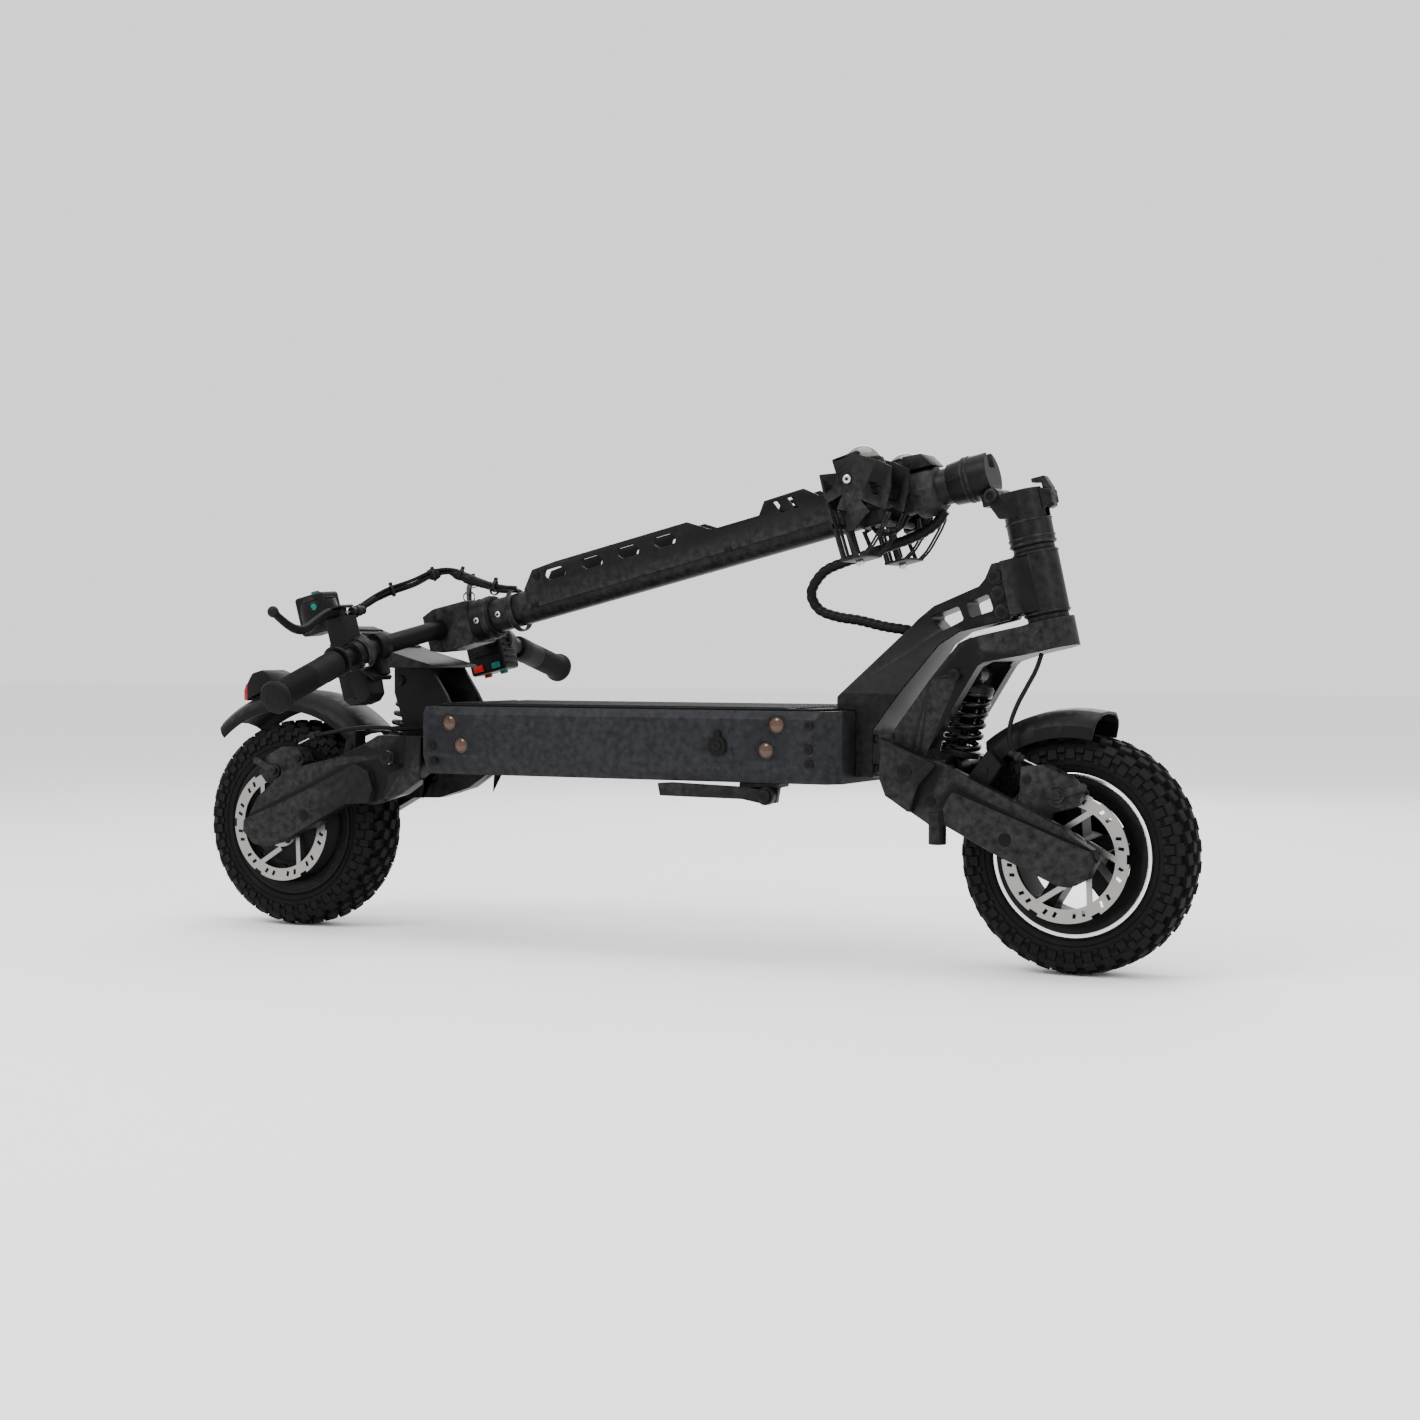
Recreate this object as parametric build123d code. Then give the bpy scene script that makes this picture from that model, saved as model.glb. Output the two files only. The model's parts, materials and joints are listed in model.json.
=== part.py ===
"""Folding electric kick scooter, stored folded.

Frame: +X forward, +Y to the rider's left, +Z up, millimetres.  The origin is on the ground,
midway between the two axles.  Each function makes one sub-part, and part() writes it out.
"""
import os
from math import cos, hypot, pi, radians, sin, tan

from build123d import *

os.makedirs("parts", exist_ok=True)

# ---------------------------------------------------------------- driving dimensions
RUN = 0.05              # radial running clearance of a shaft in its bore
SEAT = 0.3              # gap between two pieces that seat on each other
WHEELBASE = 1011.8
TYRE_R = 127.5          # ten inch off-road tyre
TYRE_HALF = 36.0
TYRE_WALL = 9.0
BEAD_R = 77.0           # bead seat of the rim
FLANGE_R = 86.0
RIM_HALF = 30.0
HUB_R = 21.0
DISC_R = 70.0           # 140 mm brake disc
DISC_T = 2.0
DISC_Y = -51.0
AXLE_R = 6.0
BEARING_R = 14.0

DECK_FRONT = 262.0
DECK_REAR = -264.0
CAP_FRONT = 142.0       # seam between the shell and the front casting
CAP_REAR = -176.0
DECK_TOP = 277.0
DECK_FLOOR = 198.0
DECK_HALF = 98.0
DECK_WALL = 4.0
MAT_HALF = 86.0
MAT_T = 4.0

STEER_X = 460.0         # a point of the steering axis
STEER_Z = 420.0
STEER_TILT = 12.5       # the axis leans back by this angle
STEERER_R = 15.0
HEAD_R = 24.5
HEAD_LOW = -40.0        # along the steering axis from that point
HEAD_HIGH = 29.6
BEARING_H = 9.0
RACE_LOW = -45.7
RACE_HIGH = 35.2
CROWN_TOP = -46.0
CROWN_LOW = -78.0
CROWN_R = 27.5
BASE_TOP = 95.6
FOLD_R = -27.0          # fold pin, behind the steering axis
FOLD_S = 96.0
FOLD_ANGLE = 91.0
FOLD_PIN_R = 5.0
KNUCKLE_R = 9.0
KNUCKLE_HALF = 12.5

STEM_R = 20.0
STEM_WALL = 3.0
STEM_END = 684.0        # end of the stem tube, from the fold
BAR_T = 716.0           # handlebar, from the fold
BAR_R = 11.1
BAR_HALF = 313.0
BAR_ROLL = 2.6          # the clamp sits this far round on the stem
GRIP_R = 15.5
GRIP_L = 118.0

LEG_IN = 44.0           # fork legs, half spacings
LEG_OUT = 62.0
ARM_IN = 64.0           # swingarm plates
ARM_FACE = 78.0
ARM_OUT = 86.0
PIVOT_R = 8.0
LUG_R = 19.5
FRONT_PIVOT = (339.2, 213.8)
REAR_PIVOT = (-325.6, 214.7)
FRONT_SHOCK_TOP = (388.0, 317.5)
FRONT_SHOCK_LOW = (366.0, 218.0)
REAR_SHOCK_TOP = (-337.0, 306.0)
REAR_SHOCK_LOW = (-357.0, 222.0)
SPRING_R = 22.0
SPRING_WIRE = 7.0
EYE_R = 10.0
EYE_HALF = 12.0
SHOCK_PIN_R = 5.0
OPEN_PIVOT = 0.9        # radial play of the lower eye, the pivot where the linkage is opened

FRONT_AXLE = (WHEELBASE / 2, TYRE_R)
REAR_AXLE = (-WHEELBASE / 2, TYRE_R)
CALIPER_GAP = 1.4       # each side of the disc
LEVER_PIVOT_Y = 158.0   # brake levers, from the middle
CABLE_R = 2.5
LOOP_R = 6.0            # wrapped main harness
BUNDLE_R = 4.0

STEEP = radians(STEER_TILT)
STEM_SLOPE = radians(90 + STEER_TILT + FOLD_ANGLE - 180)
HEAD = Plane(origin=(STEER_X, 0, STEER_Z), x_dir=(cos(STEEP), 0, sin(STEEP)),
             z_dir=(-sin(STEEP), 0, cos(STEEP)))
PIN_POINT = HEAD.from_local_coords(Vector(FOLD_R, 0, FOLD_S))
STEM = Plane(origin=(PIN_POINT.X + FOLD_R * sin(STEM_SLOPE), 0, PIN_POINT.Z - FOLD_R * cos(STEM_SLOPE)),
             x_dir=(-cos(STEM_SLOPE), 0, -sin(STEM_SLOPE)),
             z_dir=(-sin(STEM_SLOPE), 0, cos(STEM_SLOPE)))
BAR = Plane(STEM.location * Location((0, 0, 0), (-BAR_ROLL, 0, 0)))


# ---------------------------------------------------------------- helpers
def part(name, *solids):
    """Write one sub-part: one solid, or a group of separate ones."""
    pieces = [piece for shape in solids for piece in shape.solids()]
    print(f"{name}: {len(pieces)} solid(s)")
    export_step(Compound(children=pieces), f"parts/{name}.step")


def rounded(points, corner):
    if corner:
        return make_face(FilletPolyline(*points, radius=corner, close=True))
    return make_face(Polyline(*points, close=True))


def slab(outline, low, high, corner=0):
    """A plate with an XZ outline, from y = low to y = high."""
    face = rounded([(x, low, z) for x, z in outline], corner)
    return extrude(face, amount=high - low, dir=(0, 1, 0))


def both(shape):
    """The shape and its mirror image across the middle plane."""
    return [shape, mirror(shape, about=Plane.XZ)]


def rod(start, end, radius):
    start, end = Vector(*start), Vector(*end)
    return Solid.make_cylinder(radius, (end - start).length, Plane(origin=start, z_dir=end - start))


def pipe(start, end, outer, inner):
    return rod(start, end, outer) - rod(start, end, inner)


def cross(point, low, high, radius):
    """A round bar along Y through the XZ point."""
    return rod((point[0], low, point[1]), (point[0], high, point[1]), radius)


def cross_pipe(point, low, high, outer, inner):
    return cross(point, low, high, outer) - cross(point, low, high, inner)


def block(x, y, z):
    """A box from its three (low, high) pairs."""
    size = [pair[1] - pair[0] for pair in (x, y, z)]
    middle = [(pair[1] + pair[0]) / 2 for pair in (x, y, z)]
    return Pos(*middle) * Box(*size)


def about_axle(axle, profile, start, angle):
    """Turn a (radius, y) profile about a wheel's axle, from start degrees above +X."""
    face = make_face(Polyline(*[(axle[0] + r, y, axle[1]) for r, y in profile], close=True))
    line = Axis((axle[0], 0, axle[1]), (0, -1, 0))
    return revolve(face.rotate(line, start), line, angle)


def cord(points, radius, name):
    """A round cord along straight runs, joined by arcs as large as the runs allow."""
    path = [Vector(*point) for point in points]
    radii = []
    for before, here, after in zip(path, path[1:], path[2:]):
        turn = radians((here - before).get_angle(after - here))
        shorter = min((here - before).length, (after - here).length)
        radii.append(0.45 * shorter / tan(turn / 2))
    wire = Wire(FilletPolyline(*path, radius=radii).edges())
    section = Plane(origin=path[0], z_dir=path[1] - path[0]) * Circle(radius)
    tube = sweep(section, path=wire)
    share = tube.volume / (pi * radius ** 2 * wire.length)
    print(f"{name}: radii {[round(r) for r in radii]}, length {wire.length:.0f}, volume share {share:.4f}")
    return tube


def in_head(shape):
    return HEAD.location * shape


def in_stem(shape):
    return STEM.location * shape


def head_xz(r, s):
    point = HEAD.from_local_coords(Vector(r, 0, s))
    return point.X, point.Z


def in_bar(shape):
    return BAR.location * shape


def bar_point(t, y, h):
    point = BAR.from_local_coords(Vector(t, -y, h))
    return point.X, point.Y, point.Z


# ---------------------------------------------------------------- deck
def deck_section(half, floor, top, x):
    """The deck's cross-section: upright sides, sloped shoulders and a tapered foot."""
    right = [(half - 6, top), (half, top - 9), (half, floor + 22), (half - 9, floor)]
    left = [(-y, z) for y, z in reversed(right)]
    return make_face(Polyline(*[(x, y, z) for y, z in right + left], close=True))


def seam(x, reach):
    """The chevron seam between the shell and a casting, as a cutter that reaches along X."""
    middle, low = (DECK_TOP + DECK_FLOOR) / 2, DECK_FLOOR - 5
    outline = [(x, DECK_TOP + 5), (x - 6, middle + 14), (x + 8, low), (x + reach, low),
               (x + reach, DECK_TOP + 5)]
    return slab(outline, -DECK_HALF - 5, DECK_HALF + 5)


def deck_body():
    body = extrude(deck_section(DECK_HALF, DECK_FLOOR, DECK_TOP, DECK_REAR),
                   amount=DECK_FRONT - DECK_REAR, dir=(1, 0, 0))
    for side in (1, -1):
        corner = [(DECK_FRONT + 1, 74), (DECK_FRONT + 1, DECK_HALF + 1), (DECK_FRONT - 22, DECK_HALF + 1)]
        cutter = make_face(Polyline(*[(x, side * y, DECK_FLOOR - 1) for x, y in corner], close=True))
        body -= extrude(cutter, amount=DECK_TOP - DECK_FLOOR + 2, dir=(0, 0, 1))
    return body


CAVITY = (DECK_FLOOR + DECK_WALL, DECK_TOP - DECK_WALL)
CAVITY_HALF = DECK_HALF - 9 - DECK_WALL
LAMP_SPOTS = [(194.0, 262.0), (181.0, 234.0), (-228.0, 258.0), (-212.0, 232.0)]
LAMP_R = 9.0
LAMP_DEPTH = 8.0
CAP_SOLID = 26.0        # thickness of each casting's end wall
PORT = (123.0, 238.0)   # charge port, in the shell's near side
PORT_R = 8.0


def lamp_pockets(radius, depth, proud=0.0):
    spots = []
    for x, z in LAMP_SPOTS:
        spots += both(cross((x, z), DECK_HALF - depth, DECK_HALF + proud, radius))
    return spots


def deck_shell():
    shell = deck_body() - seam(CAP_FRONT, 200) - (deck_body() - seam(CAP_REAR, 600))
    shell -= block((DECK_REAR, DECK_FRONT), (-CAVITY_HALF, CAVITY_HALF), CAVITY)
    return shell - cross(PORT, -DECK_HALF - 1, -CAVITY_HALF + 1, PORT_R)


def deck_end_caps():
    front = deck_body() & seam(CAP_FRONT + SEAT, 200)
    rear = deck_body() - seam(CAP_REAR - SEAT, 600)
    front -= block((CAP_FRONT - 20, DECK_FRONT - CAP_SOLID), (-CAVITY_HALF, CAVITY_HALF), CAVITY)
    rear -= block((DECK_REAR + CAP_SOLID, CAP_REAR + 20), (-CAVITY_HALF, CAVITY_HALF), CAVITY)
    for pocket in lamp_pockets(LAMP_R, LAMP_DEPTH, 1):
        front -= pocket
        rear -= pocket
    for spot in deck_bolt_spots():
        front -= spot(BOLT_R + SEAT / 2, 14, 1)
        rear -= spot(BOLT_R + SEAT / 2, 14, 1)
    for bolt in block_bolts(BOLT_R + SEAT / 2):
        front -= bolt
    return front, rear


def deck_mat():
    outline = [(DECK_REAR + 10, -MAT_HALF), (DECK_FRONT - 26, -MAT_HALF), (DECK_FRONT - 14, -58),
               (DECK_FRONT - 14, -46), (222, -46), (222, 46), (DECK_FRONT - 14, 46),
               (DECK_FRONT - 14, 58), (DECK_FRONT - 26, MAT_HALF), (DECK_REAR + 10, MAT_HALF)]
    points = [(x, y, DECK_TOP) for x, y in outline]
    return extrude(rounded(points, 5), amount=MAT_T, dir=(0, 0, 1))


def marker_lenses():
    return lamp_pockets(LAMP_R - SEAT, LAMP_DEPTH - SEAT, -0.5)


def charge_port_cap():
    """The plug of the charge port, hinged on a pin above it."""
    hinge = (PORT[0], PORT[1] + PORT_R + 6)
    lid = cross(PORT, -DECK_HALF - 3.5, -DECK_HALF - SEAT, PORT_R + 3)
    lid += cross(hinge, -DECK_HALF - 3.5, -DECK_HALF - SEAT, 4)
    lid += block((PORT[0] - 4, PORT[0] + 4), (-DECK_HALF - 3.5, -DECK_HALF - SEAT), (PORT[1], hinge[1]))
    return lid


def battery_pack():
    low = CAVITY[0] + SEAT
    return block((CAP_REAR + 12, 60), (-CAVITY_HALF + 3, CAVITY_HALF - 3), (low, CAVITY[1] - 4))


def motor_controllers():
    low = CAVITY[0] + SEAT
    return [block((70, 128), side, (low, low + 34)) for side in ((-72, -6), (6, 72))]


BOLT_R = 3.0


def deck_bolt_spots():
    """Makers of the side bolts of the two castings, each given a radius, depth and head."""
    spots = []
    for x, z in [(233, 262), (233, 236), (233, 220), (-252, 231), (-250, 212)]:
        for side in (1, -1):
            def spot(radius, depth, proud, x=x, z=z, side=side):
                shape = cross((x, z), DECK_HALF - depth, DECK_HALF + proud, radius)
                return shape if side > 0 else mirror(shape, about=Plane.XZ)
            spots.append(spot)
    return spots


def block_bolts(radius, head=0.0):
    """The bolts that hold the neck's foot to the front casting."""
    bolts = []
    for y in (-31, 31):
        for z in (214, 246):
            bolts.append(rod((DECK_FRONT - 16, y, z), (NECK_FOOT_FRONT + head, y, z), radius))
    return bolts


def frame_bolts():
    bolts = [spot(BOLT_R, 13, 2) + spot(BOLT_R + 2, -SEAT, 2.5) for spot in deck_bolt_spots()]
    bolts += [bolt for bolt in block_bolts(BOLT_R, 4)]
    for spot in NECK_BOLTS:
        shank = cross(spot, -NECK_HALF - 4, NECK_HALF + 4, 3.5)
        heads = cross_pipe(spot, -NECK_HALF - 4, -NECK_HALF - SEAT, 7, 3.5)
        bolts += [shank + heads + mirror(heads, about=Plane.XZ)]
    return bolts


# ---------------------------------------------------------------- neck and head
NECK_FOOT_FRONT = 283.0
NECK_HALF = 19.5
NECK_FOOT_HALF = 40.0
TONGUE_HALF = 8.0
HEAD_WEB = 434.0        # the neck ends here, against the head tube's web
NECK_BOLTS = [head_xz(-42.0, 12.0), head_xz(-42.0, -7.5), head_xz(-42.0, -27.0)]


def neck_frame():
    outline = [(DECK_FRONT + SEAT, 204), (NECK_FOOT_FRONT, 204), (NECK_FOOT_FRONT, 256), (318, 302),
               (354, 349), (376, 363), (431, 376), (433.4, 380), (421.0, 438), (411, 436),
               (404, 420), (397, 412), (345, 391), (327, 377), (240, 292), (240, DECK_TOP + SEAT),
               (DECK_FRONT + SEAT, DECK_TOP + SEAT)]
    body = slab(outline, -NECK_FOOT_HALF, NECK_FOOT_HALF)
    half = [(NECK_FOOT_HALF, 190), (NECK_FOOT_HALF, 296), (NECK_HALF, 368), (NECK_HALF, 450)]
    width = half + [(-y, z) for y, z in reversed(half)]
    taper = make_face(Polyline(*[(230, y, z) for y, z in width], close=True))
    body &= extrude(taper, amount=220, dir=(1, 0, 0))
    body -= slab([(341, 379), (374, 391), (380, 376), (356, 364)], -60, 60, corner=3)
    body -= slab([(383, 394), (408, 404), (414, 386), (388, 378)], -60, 60, corner=3)
    body -= slab([(410, 371), (440, 371), (440, 450), (410, 450)], -TONGUE_HALF, TONGUE_HALF)
    for spot in NECK_BOLTS:
        body -= cross(spot, -60, 60, 3.5 + SEAT / 2)
    for bolt in block_bolts(BOLT_R + SEAT / 2, 1):
        body -= bolt
    return body


def head_tube():
    span = (HEAD_LOW, HEAD_HIGH)
    tube = Pos(0, 0, (span[0] + span[1]) / 2) * Cylinder(HEAD_R, span[1] - span[0])
    web = Pos(-12, 0, -5) * Box(24, 2 * HEAD_R, 60)
    body = in_head(tube + web)
    body += slab([(HEAD_WEB + SEAT - 0.6, 380), (452, 382), (438, 442), (421.3, 438.3)], -HEAD_R, HEAD_R)
    gap = TONGUE_HALF - SEAT
    body += slab([(413, 376), (440, 380), (430, 436), (413, 432)], -gap, gap)
    bore = Pos(0, 0, (span[0] + span[1]) / 2) * Cylinder(HEAD_R - 5, span[1] - span[0] + 2)
    body -= in_head(bore)
    for spot in NECK_BOLTS:
        body -= cross(spot, -60, 60, 3.5 + SEAT / 2)
    return body


def headset_bearings():
    """Two bearings in the head tube, each with the ring that shows outside it."""
    rings = []
    for inner, face, outer in ((HEAD_LOW + BEARING_H, HEAD_LOW, RACE_LOW),
                               (HEAD_HIGH - BEARING_H, HEAD_HIGH, RACE_HIGH)):
        seat = Pos(0, 0, (inner + face) / 2) * Cylinder(HEAD_R - 5 - RUN, abs(inner - face))
        flange = Pos(0, 0, (face + outer) / 2) * Cylinder(HEAD_R - 2, abs(outer - face))
        bore = Pos(0, 0, (inner + outer) / 2) * Cylinder(STEERER_R + RUN, abs(inner - outer) + 4)
        rings.append(in_head(seat + flange - bore))
    return rings


def fork():
    """Crown, steerer and two legs, with the upper bolt of the front shock."""
    steerer_top = BASE_TOP - 6
    boss = Pos(0, 0, (CROWN_TOP + CROWN_LOW) / 2) * Cylinder(CROWN_R, CROWN_TOP - CROWN_LOW)
    steerer = Pos(0, 0, (steerer_top + CROWN_LOW) / 2) * Cylinder(STEERER_R, steerer_top - CROWN_LOW)
    body = in_head(boss + steerer)
    rear_top, front_top = head_xz(-66, CROWN_TOP - 4), head_xz(0, CROWN_TOP)
    rear_low, front_low = head_xz(-60, CROWN_LOW), head_xz(0, CROWN_LOW)
    side = slab([front_top, rear_top, (391, 351), (400, 318), rear_low, front_low], -LEG_OUT, LEG_OUT)
    half = [(STEER_X + 20, CROWN_R - 1), (STEER_X - 10, CROWN_R + 2), (STEER_X - 46, LEG_OUT), (370, LEG_OUT),
            (370, LEG_IN), (STEER_X - 52, LEG_IN), (STEER_X - 40, 30), (STEER_X - 40, 0)]
    plan = half + [(x, -y) for x, y in reversed(half[:-1])]
    cutter = make_face(Polyline(*[(x, y, 250) for x, y in plan], close=True))
    body += side & extrude(cutter, amount=200, dir=(0, 0, 1))
    leg_outline = [(404, 357), (391, 351), (359, 313), (318, 259), (FRONT_PIVOT[0] - LUG_R, FRONT_PIVOT[1]),
                   (FRONT_PIVOT[0] + LUG_R - 1, FRONT_PIVOT[1]), (357, 238), (408, 320), (420, 338)]
    for leg in both(slab(leg_outline, LEG_IN, LEG_OUT) + cross(FRONT_PIVOT, LEG_IN, LEG_OUT, LUG_R)):
        body += leg
    body -= cross(FRONT_PIVOT, -LEG_OUT - 1, LEG_OUT + 1, PIVOT_R + RUN)
    return body + cross(FRONT_SHOCK_TOP, -LEG_OUT - 4, LEG_OUT + 4, SHOCK_PIN_R)


# ---------------------------------------------------------------- fold
LATCH_PIVOT = (29.5, 84.0)
LATCH_HALF = 6.0


def fold_base():
    body = Pos(0, 0, (RACE_HIGH + SEAT + BASE_TOP) / 2) * Cylinder(HEAD_R, BASE_TOP - RACE_HIGH - SEAT)
    bore_top = BASE_TOP - 5
    lug = slab([(FOLD_R - 2, FOLD_S), (FOLD_R - KNUCKLE_R, FOLD_S), (-24, 70), (0, 66), (0, BASE_TOP)],
               KNUCKLE_HALF + SEAT, HEAD_R)
    lug = lug & (Pos(0, 0, BASE_TOP - 100) * Box(200, 200, 200))
    lug += cross((FOLD_R, FOLD_S), KNUCKLE_HALF + SEAT, HEAD_R, KNUCKLE_R)
    for side in both(lug):
        body += side
    body -= Pos(0, 0, (RACE_HIGH + bore_top) / 2) * Cylinder(STEERER_R + RUN, bore_top - RACE_HIGH)
    body -= cross((FOLD_R, FOLD_S), -KNUCKLE_HALF - SEAT, KNUCKLE_HALF + SEAT, KNUCKLE_R + 0.6)
    body -= block((FOLD_R - 12, FOLD_R + 9), (-KNUCKLE_HALF - SEAT, KNUCKLE_HALF + SEAT), (FOLD_S - 6, FOLD_S + 4))
    body -= cross((FOLD_R, FOLD_S), -60, 60, FOLD_PIN_R + RUN)
    ears = slab([(18, 70), (LATCH_PIVOT[0] + 5, 76), (LATCH_PIVOT[0] + 5, 90), (18, 94)],
                LATCH_HALF + SEAT, LATCH_HALF + 5)
    for ear in both(ears):
        body += ear
    body -= block((19, 40), (-LATCH_HALF - SEAT, LATCH_HALF + SEAT), (64, BASE_TOP + 1))
    body -= cross(LATCH_PIVOT, -20, 20, 2.5 + RUN)
    return in_head(body)


def fold_pin():
    """The pin through the lugs and the knuckle, with a head at each end."""
    reach = HEAD_R + SEAT
    body = cross((FOLD_R, FOLD_S), -reach - 3, reach + 3, FOLD_PIN_R)
    for head in both(cross((FOLD_R, FOLD_S), reach, reach + 3, 7.5)):
        body += head
    return in_head(body)


def fold_latch():
    """The hook that holds the stem upright, with its own pin."""
    outline = [(27, 70), (33.5, 72), (34.5, 92), (29, 106), (14, 106), (14, 101.5), (24.5, 99.5), (25, 80)]
    body = slab(outline, -LATCH_HALF, LATCH_HALF, corner=1.2)
    body += cross(LATCH_PIVOT, -LATCH_HALF, LATCH_HALF, 5.5)
    return in_head(body + cross(LATCH_PIVOT, -LATCH_HALF - 5, LATCH_HALF + 5, 2.5))


def fold_head():
    """The casting on the stem's foot that turns about the fold pin."""
    length = 30.0
    face = 0.4
    body = Pos((face + length) / 2, 0, 0) * Rot(0, 90, 0) * Cylinder(HEAD_R, length - face)
    body += Pos(length + 9, 0, 0) * Rot(0, 90, 0) * Cone(HEAD_R, STEM_R + 3, 18)
    reach = (0, FOLD_R)
    relief = KNUCKLE_R + 0.6
    for side in both(cross(reach, KNUCKLE_HALF, HEAD_R + 2, relief)):
        body -= side
    body += cross(reach, -KNUCKLE_HALF, KNUCKLE_HALF, KNUCKLE_R)
    body += block((face, 16), (-KNUCKLE_HALF, KNUCKLE_HALF), (FOLD_R - 8, -8))
    body -= cross(reach, -60, 60, FOLD_PIN_R + RUN)
    body -= block((-1, 16), (-LATCH_HALF - 1.5, LATCH_HALF + 1.5), (7, HEAD_R + 2))
    body -= Pos(40, 0, 0) * Rot(0, 90, 0) * Cylinder(STEM_R + RUN, 40)
    return in_stem(body)


# ---------------------------------------------------------------- stem
FIN_Y = STEM_R + 0.5
FIN_T = 3.0
SLOTS = [544.0, 493.0, 443.5, 394.5]


def stem_tube():
    start = 20.0 + SEAT
    body = Pos((start + STEM_END) / 2, 0, 0) * Rot(0, 90, 0) * Cylinder(STEM_R, STEM_END - start)
    body -= Pos((start + STEM_END) / 2, 0, 0) * Rot(0, 90, 0) * Cylinder(STEM_R - STEM_WALL, STEM_END)
    return in_stem(body)


def stem_side_plates():
    """Two long plates beside the tube, raised into fins and pierced by holes and slots."""
    top = [(96, -4), (96, 22), (112, 34), (168, 36), (184, 24), (196, 27), (212, 39), (262, 38), (272, 24),
           (334, 24), (362, 40), (540, 40), (574, 38), (590, 18), (590, -6)]
    plate = slab(top, FIN_Y, FIN_Y + FIN_T)
    for t in SLOTS:
        plate -= slab([(t - 15, 27), (t - 8, 33), (t + 12, 33), (t + 15, 26), (t + 8, 20), (t - 12, 20)],
                      FIN_Y - 1, FIN_Y + FIN_T + 1, corner=4)
    for t in (222.0, 240.0):
        plate -= slab([(t, 20), (t + 5, 20), (t + 12, 34), (t + 7, 34)], FIN_Y - 1, FIN_Y + FIN_T + 1)
    bridge = block((346, 586), (-FIN_Y, FIN_Y), (19.3, 21.3))
    shapes = both(plate)
    body = shapes[0] + shapes[1] + bridge
    body += block((100, 180), (-FIN_Y, FIN_Y), (21.0, 24.0)) + block((214, 264), (-FIN_Y, FIN_Y), (21.0, 24.0))
    bore = Pos(340, 0, 0) * Rot(0, 90, 0) * Cylinder(STEM_R + RUN, 700)
    return in_stem(body - bore)


BAR_POINTS = [(BAR_T + 45, BAR_HALF, -54), (BAR_T + 34, 190, -20), (BAR_T + 26, 110, -8), (BAR_T, 40, 0)]


def bar_points():
    left = [bar_point(*point) for point in BAR_POINTS]
    right = [bar_point(t, -y, h) for t, y, h in reversed(BAR_POINTS)]
    return left + right


def handlebar(radius=BAR_R):
    """The bent bar, or a cutter round it when the radius is larger."""
    ends = bar_points()
    path = FilletPolyline(*ends, radius=60)
    section = Plane(origin=ends[0], z_dir=Vector(*ends[1]) - Vector(*ends[0])) * Circle(radius)
    return sweep(section, path=path)


def bar_end(side, back, reach):
    """A point on the grip's axis, back from the bar's end; reach goes past it."""
    outer, inner = (Vector(*bar_point(t, side * y, h)) for t, y, h in BAR_POINTS[:2])
    point = outer + (inner - outer).normalized() * (back - reach)
    return point.X, point.Y, point.Z


def grips():
    solids = []
    for side in (1, -1):
        grip = rod(bar_end(side, GRIP_L, 0), bar_end(side, 0, 4), GRIP_R)
        grip += rod(bar_end(side, 9, 0), bar_end(side, 0, 4), GRIP_R + 3.5)
        solids.append(grip - rod(bar_end(side, GRIP_L + 2, 0), bar_end(side, 0, 0), BAR_R + RUN))
    return solids


def bar_clamp():
    """The stem's head: a socket over the tube and a split clamp round the bar, in two pieces."""
    socket = Pos(672, 0, 0) * Rot(0, 90, 0) * Cylinder(STEM_R + 5, 52)
    socket += slab([(672, -26), (BAR_T + 2 - SEAT, -27), (BAR_T + 2 - SEAT, 27), (672, 26)], -25, 25)
    cap = slab([(BAR_T + 2, -27), (BAR_T + 19, -21), (BAR_T + 19, 21), (BAR_T + 2, 27)], -25, 25, corner=1)
    bar = cross((BAR_T, 0), -60, 60, BAR_R + RUN)
    socket -= bar + Pos(660, 0, 0) * Rot(0, 90, 0) * Cylinder(STEM_R + RUN, 2 * (STEM_END + SEAT - 660))
    for z in (-19, 19):
        for y in (-17, 17):
            bolt = rod((BAR_T - 12, y, z), (BAR_T + 30, y, z), 2.5)
            cap -= bolt
            socket -= bolt
    return in_bar(socket), in_bar(cap - bar)


# ---------------------------------------------------------------- controls
def on_bar(side, t, y, h):
    return bar_point(BAR_T + t, side * y, h)


def pod_box(side, t, y, h, corner=4):
    """A rounded box in the bar clamp's own directions."""
    low, high = sorted((-side * y[0], -side * y[1]))
    shape = block((BAR_T + t[0], BAR_T + t[1]), (low, high), h)
    return in_bar(fillet(shape.edges(), corner))


def collar(side, near, far, outer):
    """A collar on the rising part of the bar, between two distances from the middle."""
    start, end = BAR_POINTS[1], BAR_POINTS[2]
    ends = []
    for y in (near, far):
        share = (start[1] - y) / (start[1] - end[1])
        t, h = (a + (b - a) * share for a, b in ((start[0], end[0]), (start[2], end[2])))
        ends.append(bar_point(t, side * y, h))
    return rod(*ends, outer)


LEVER_T, LEVER_H = 42.0, 36.0


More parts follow.
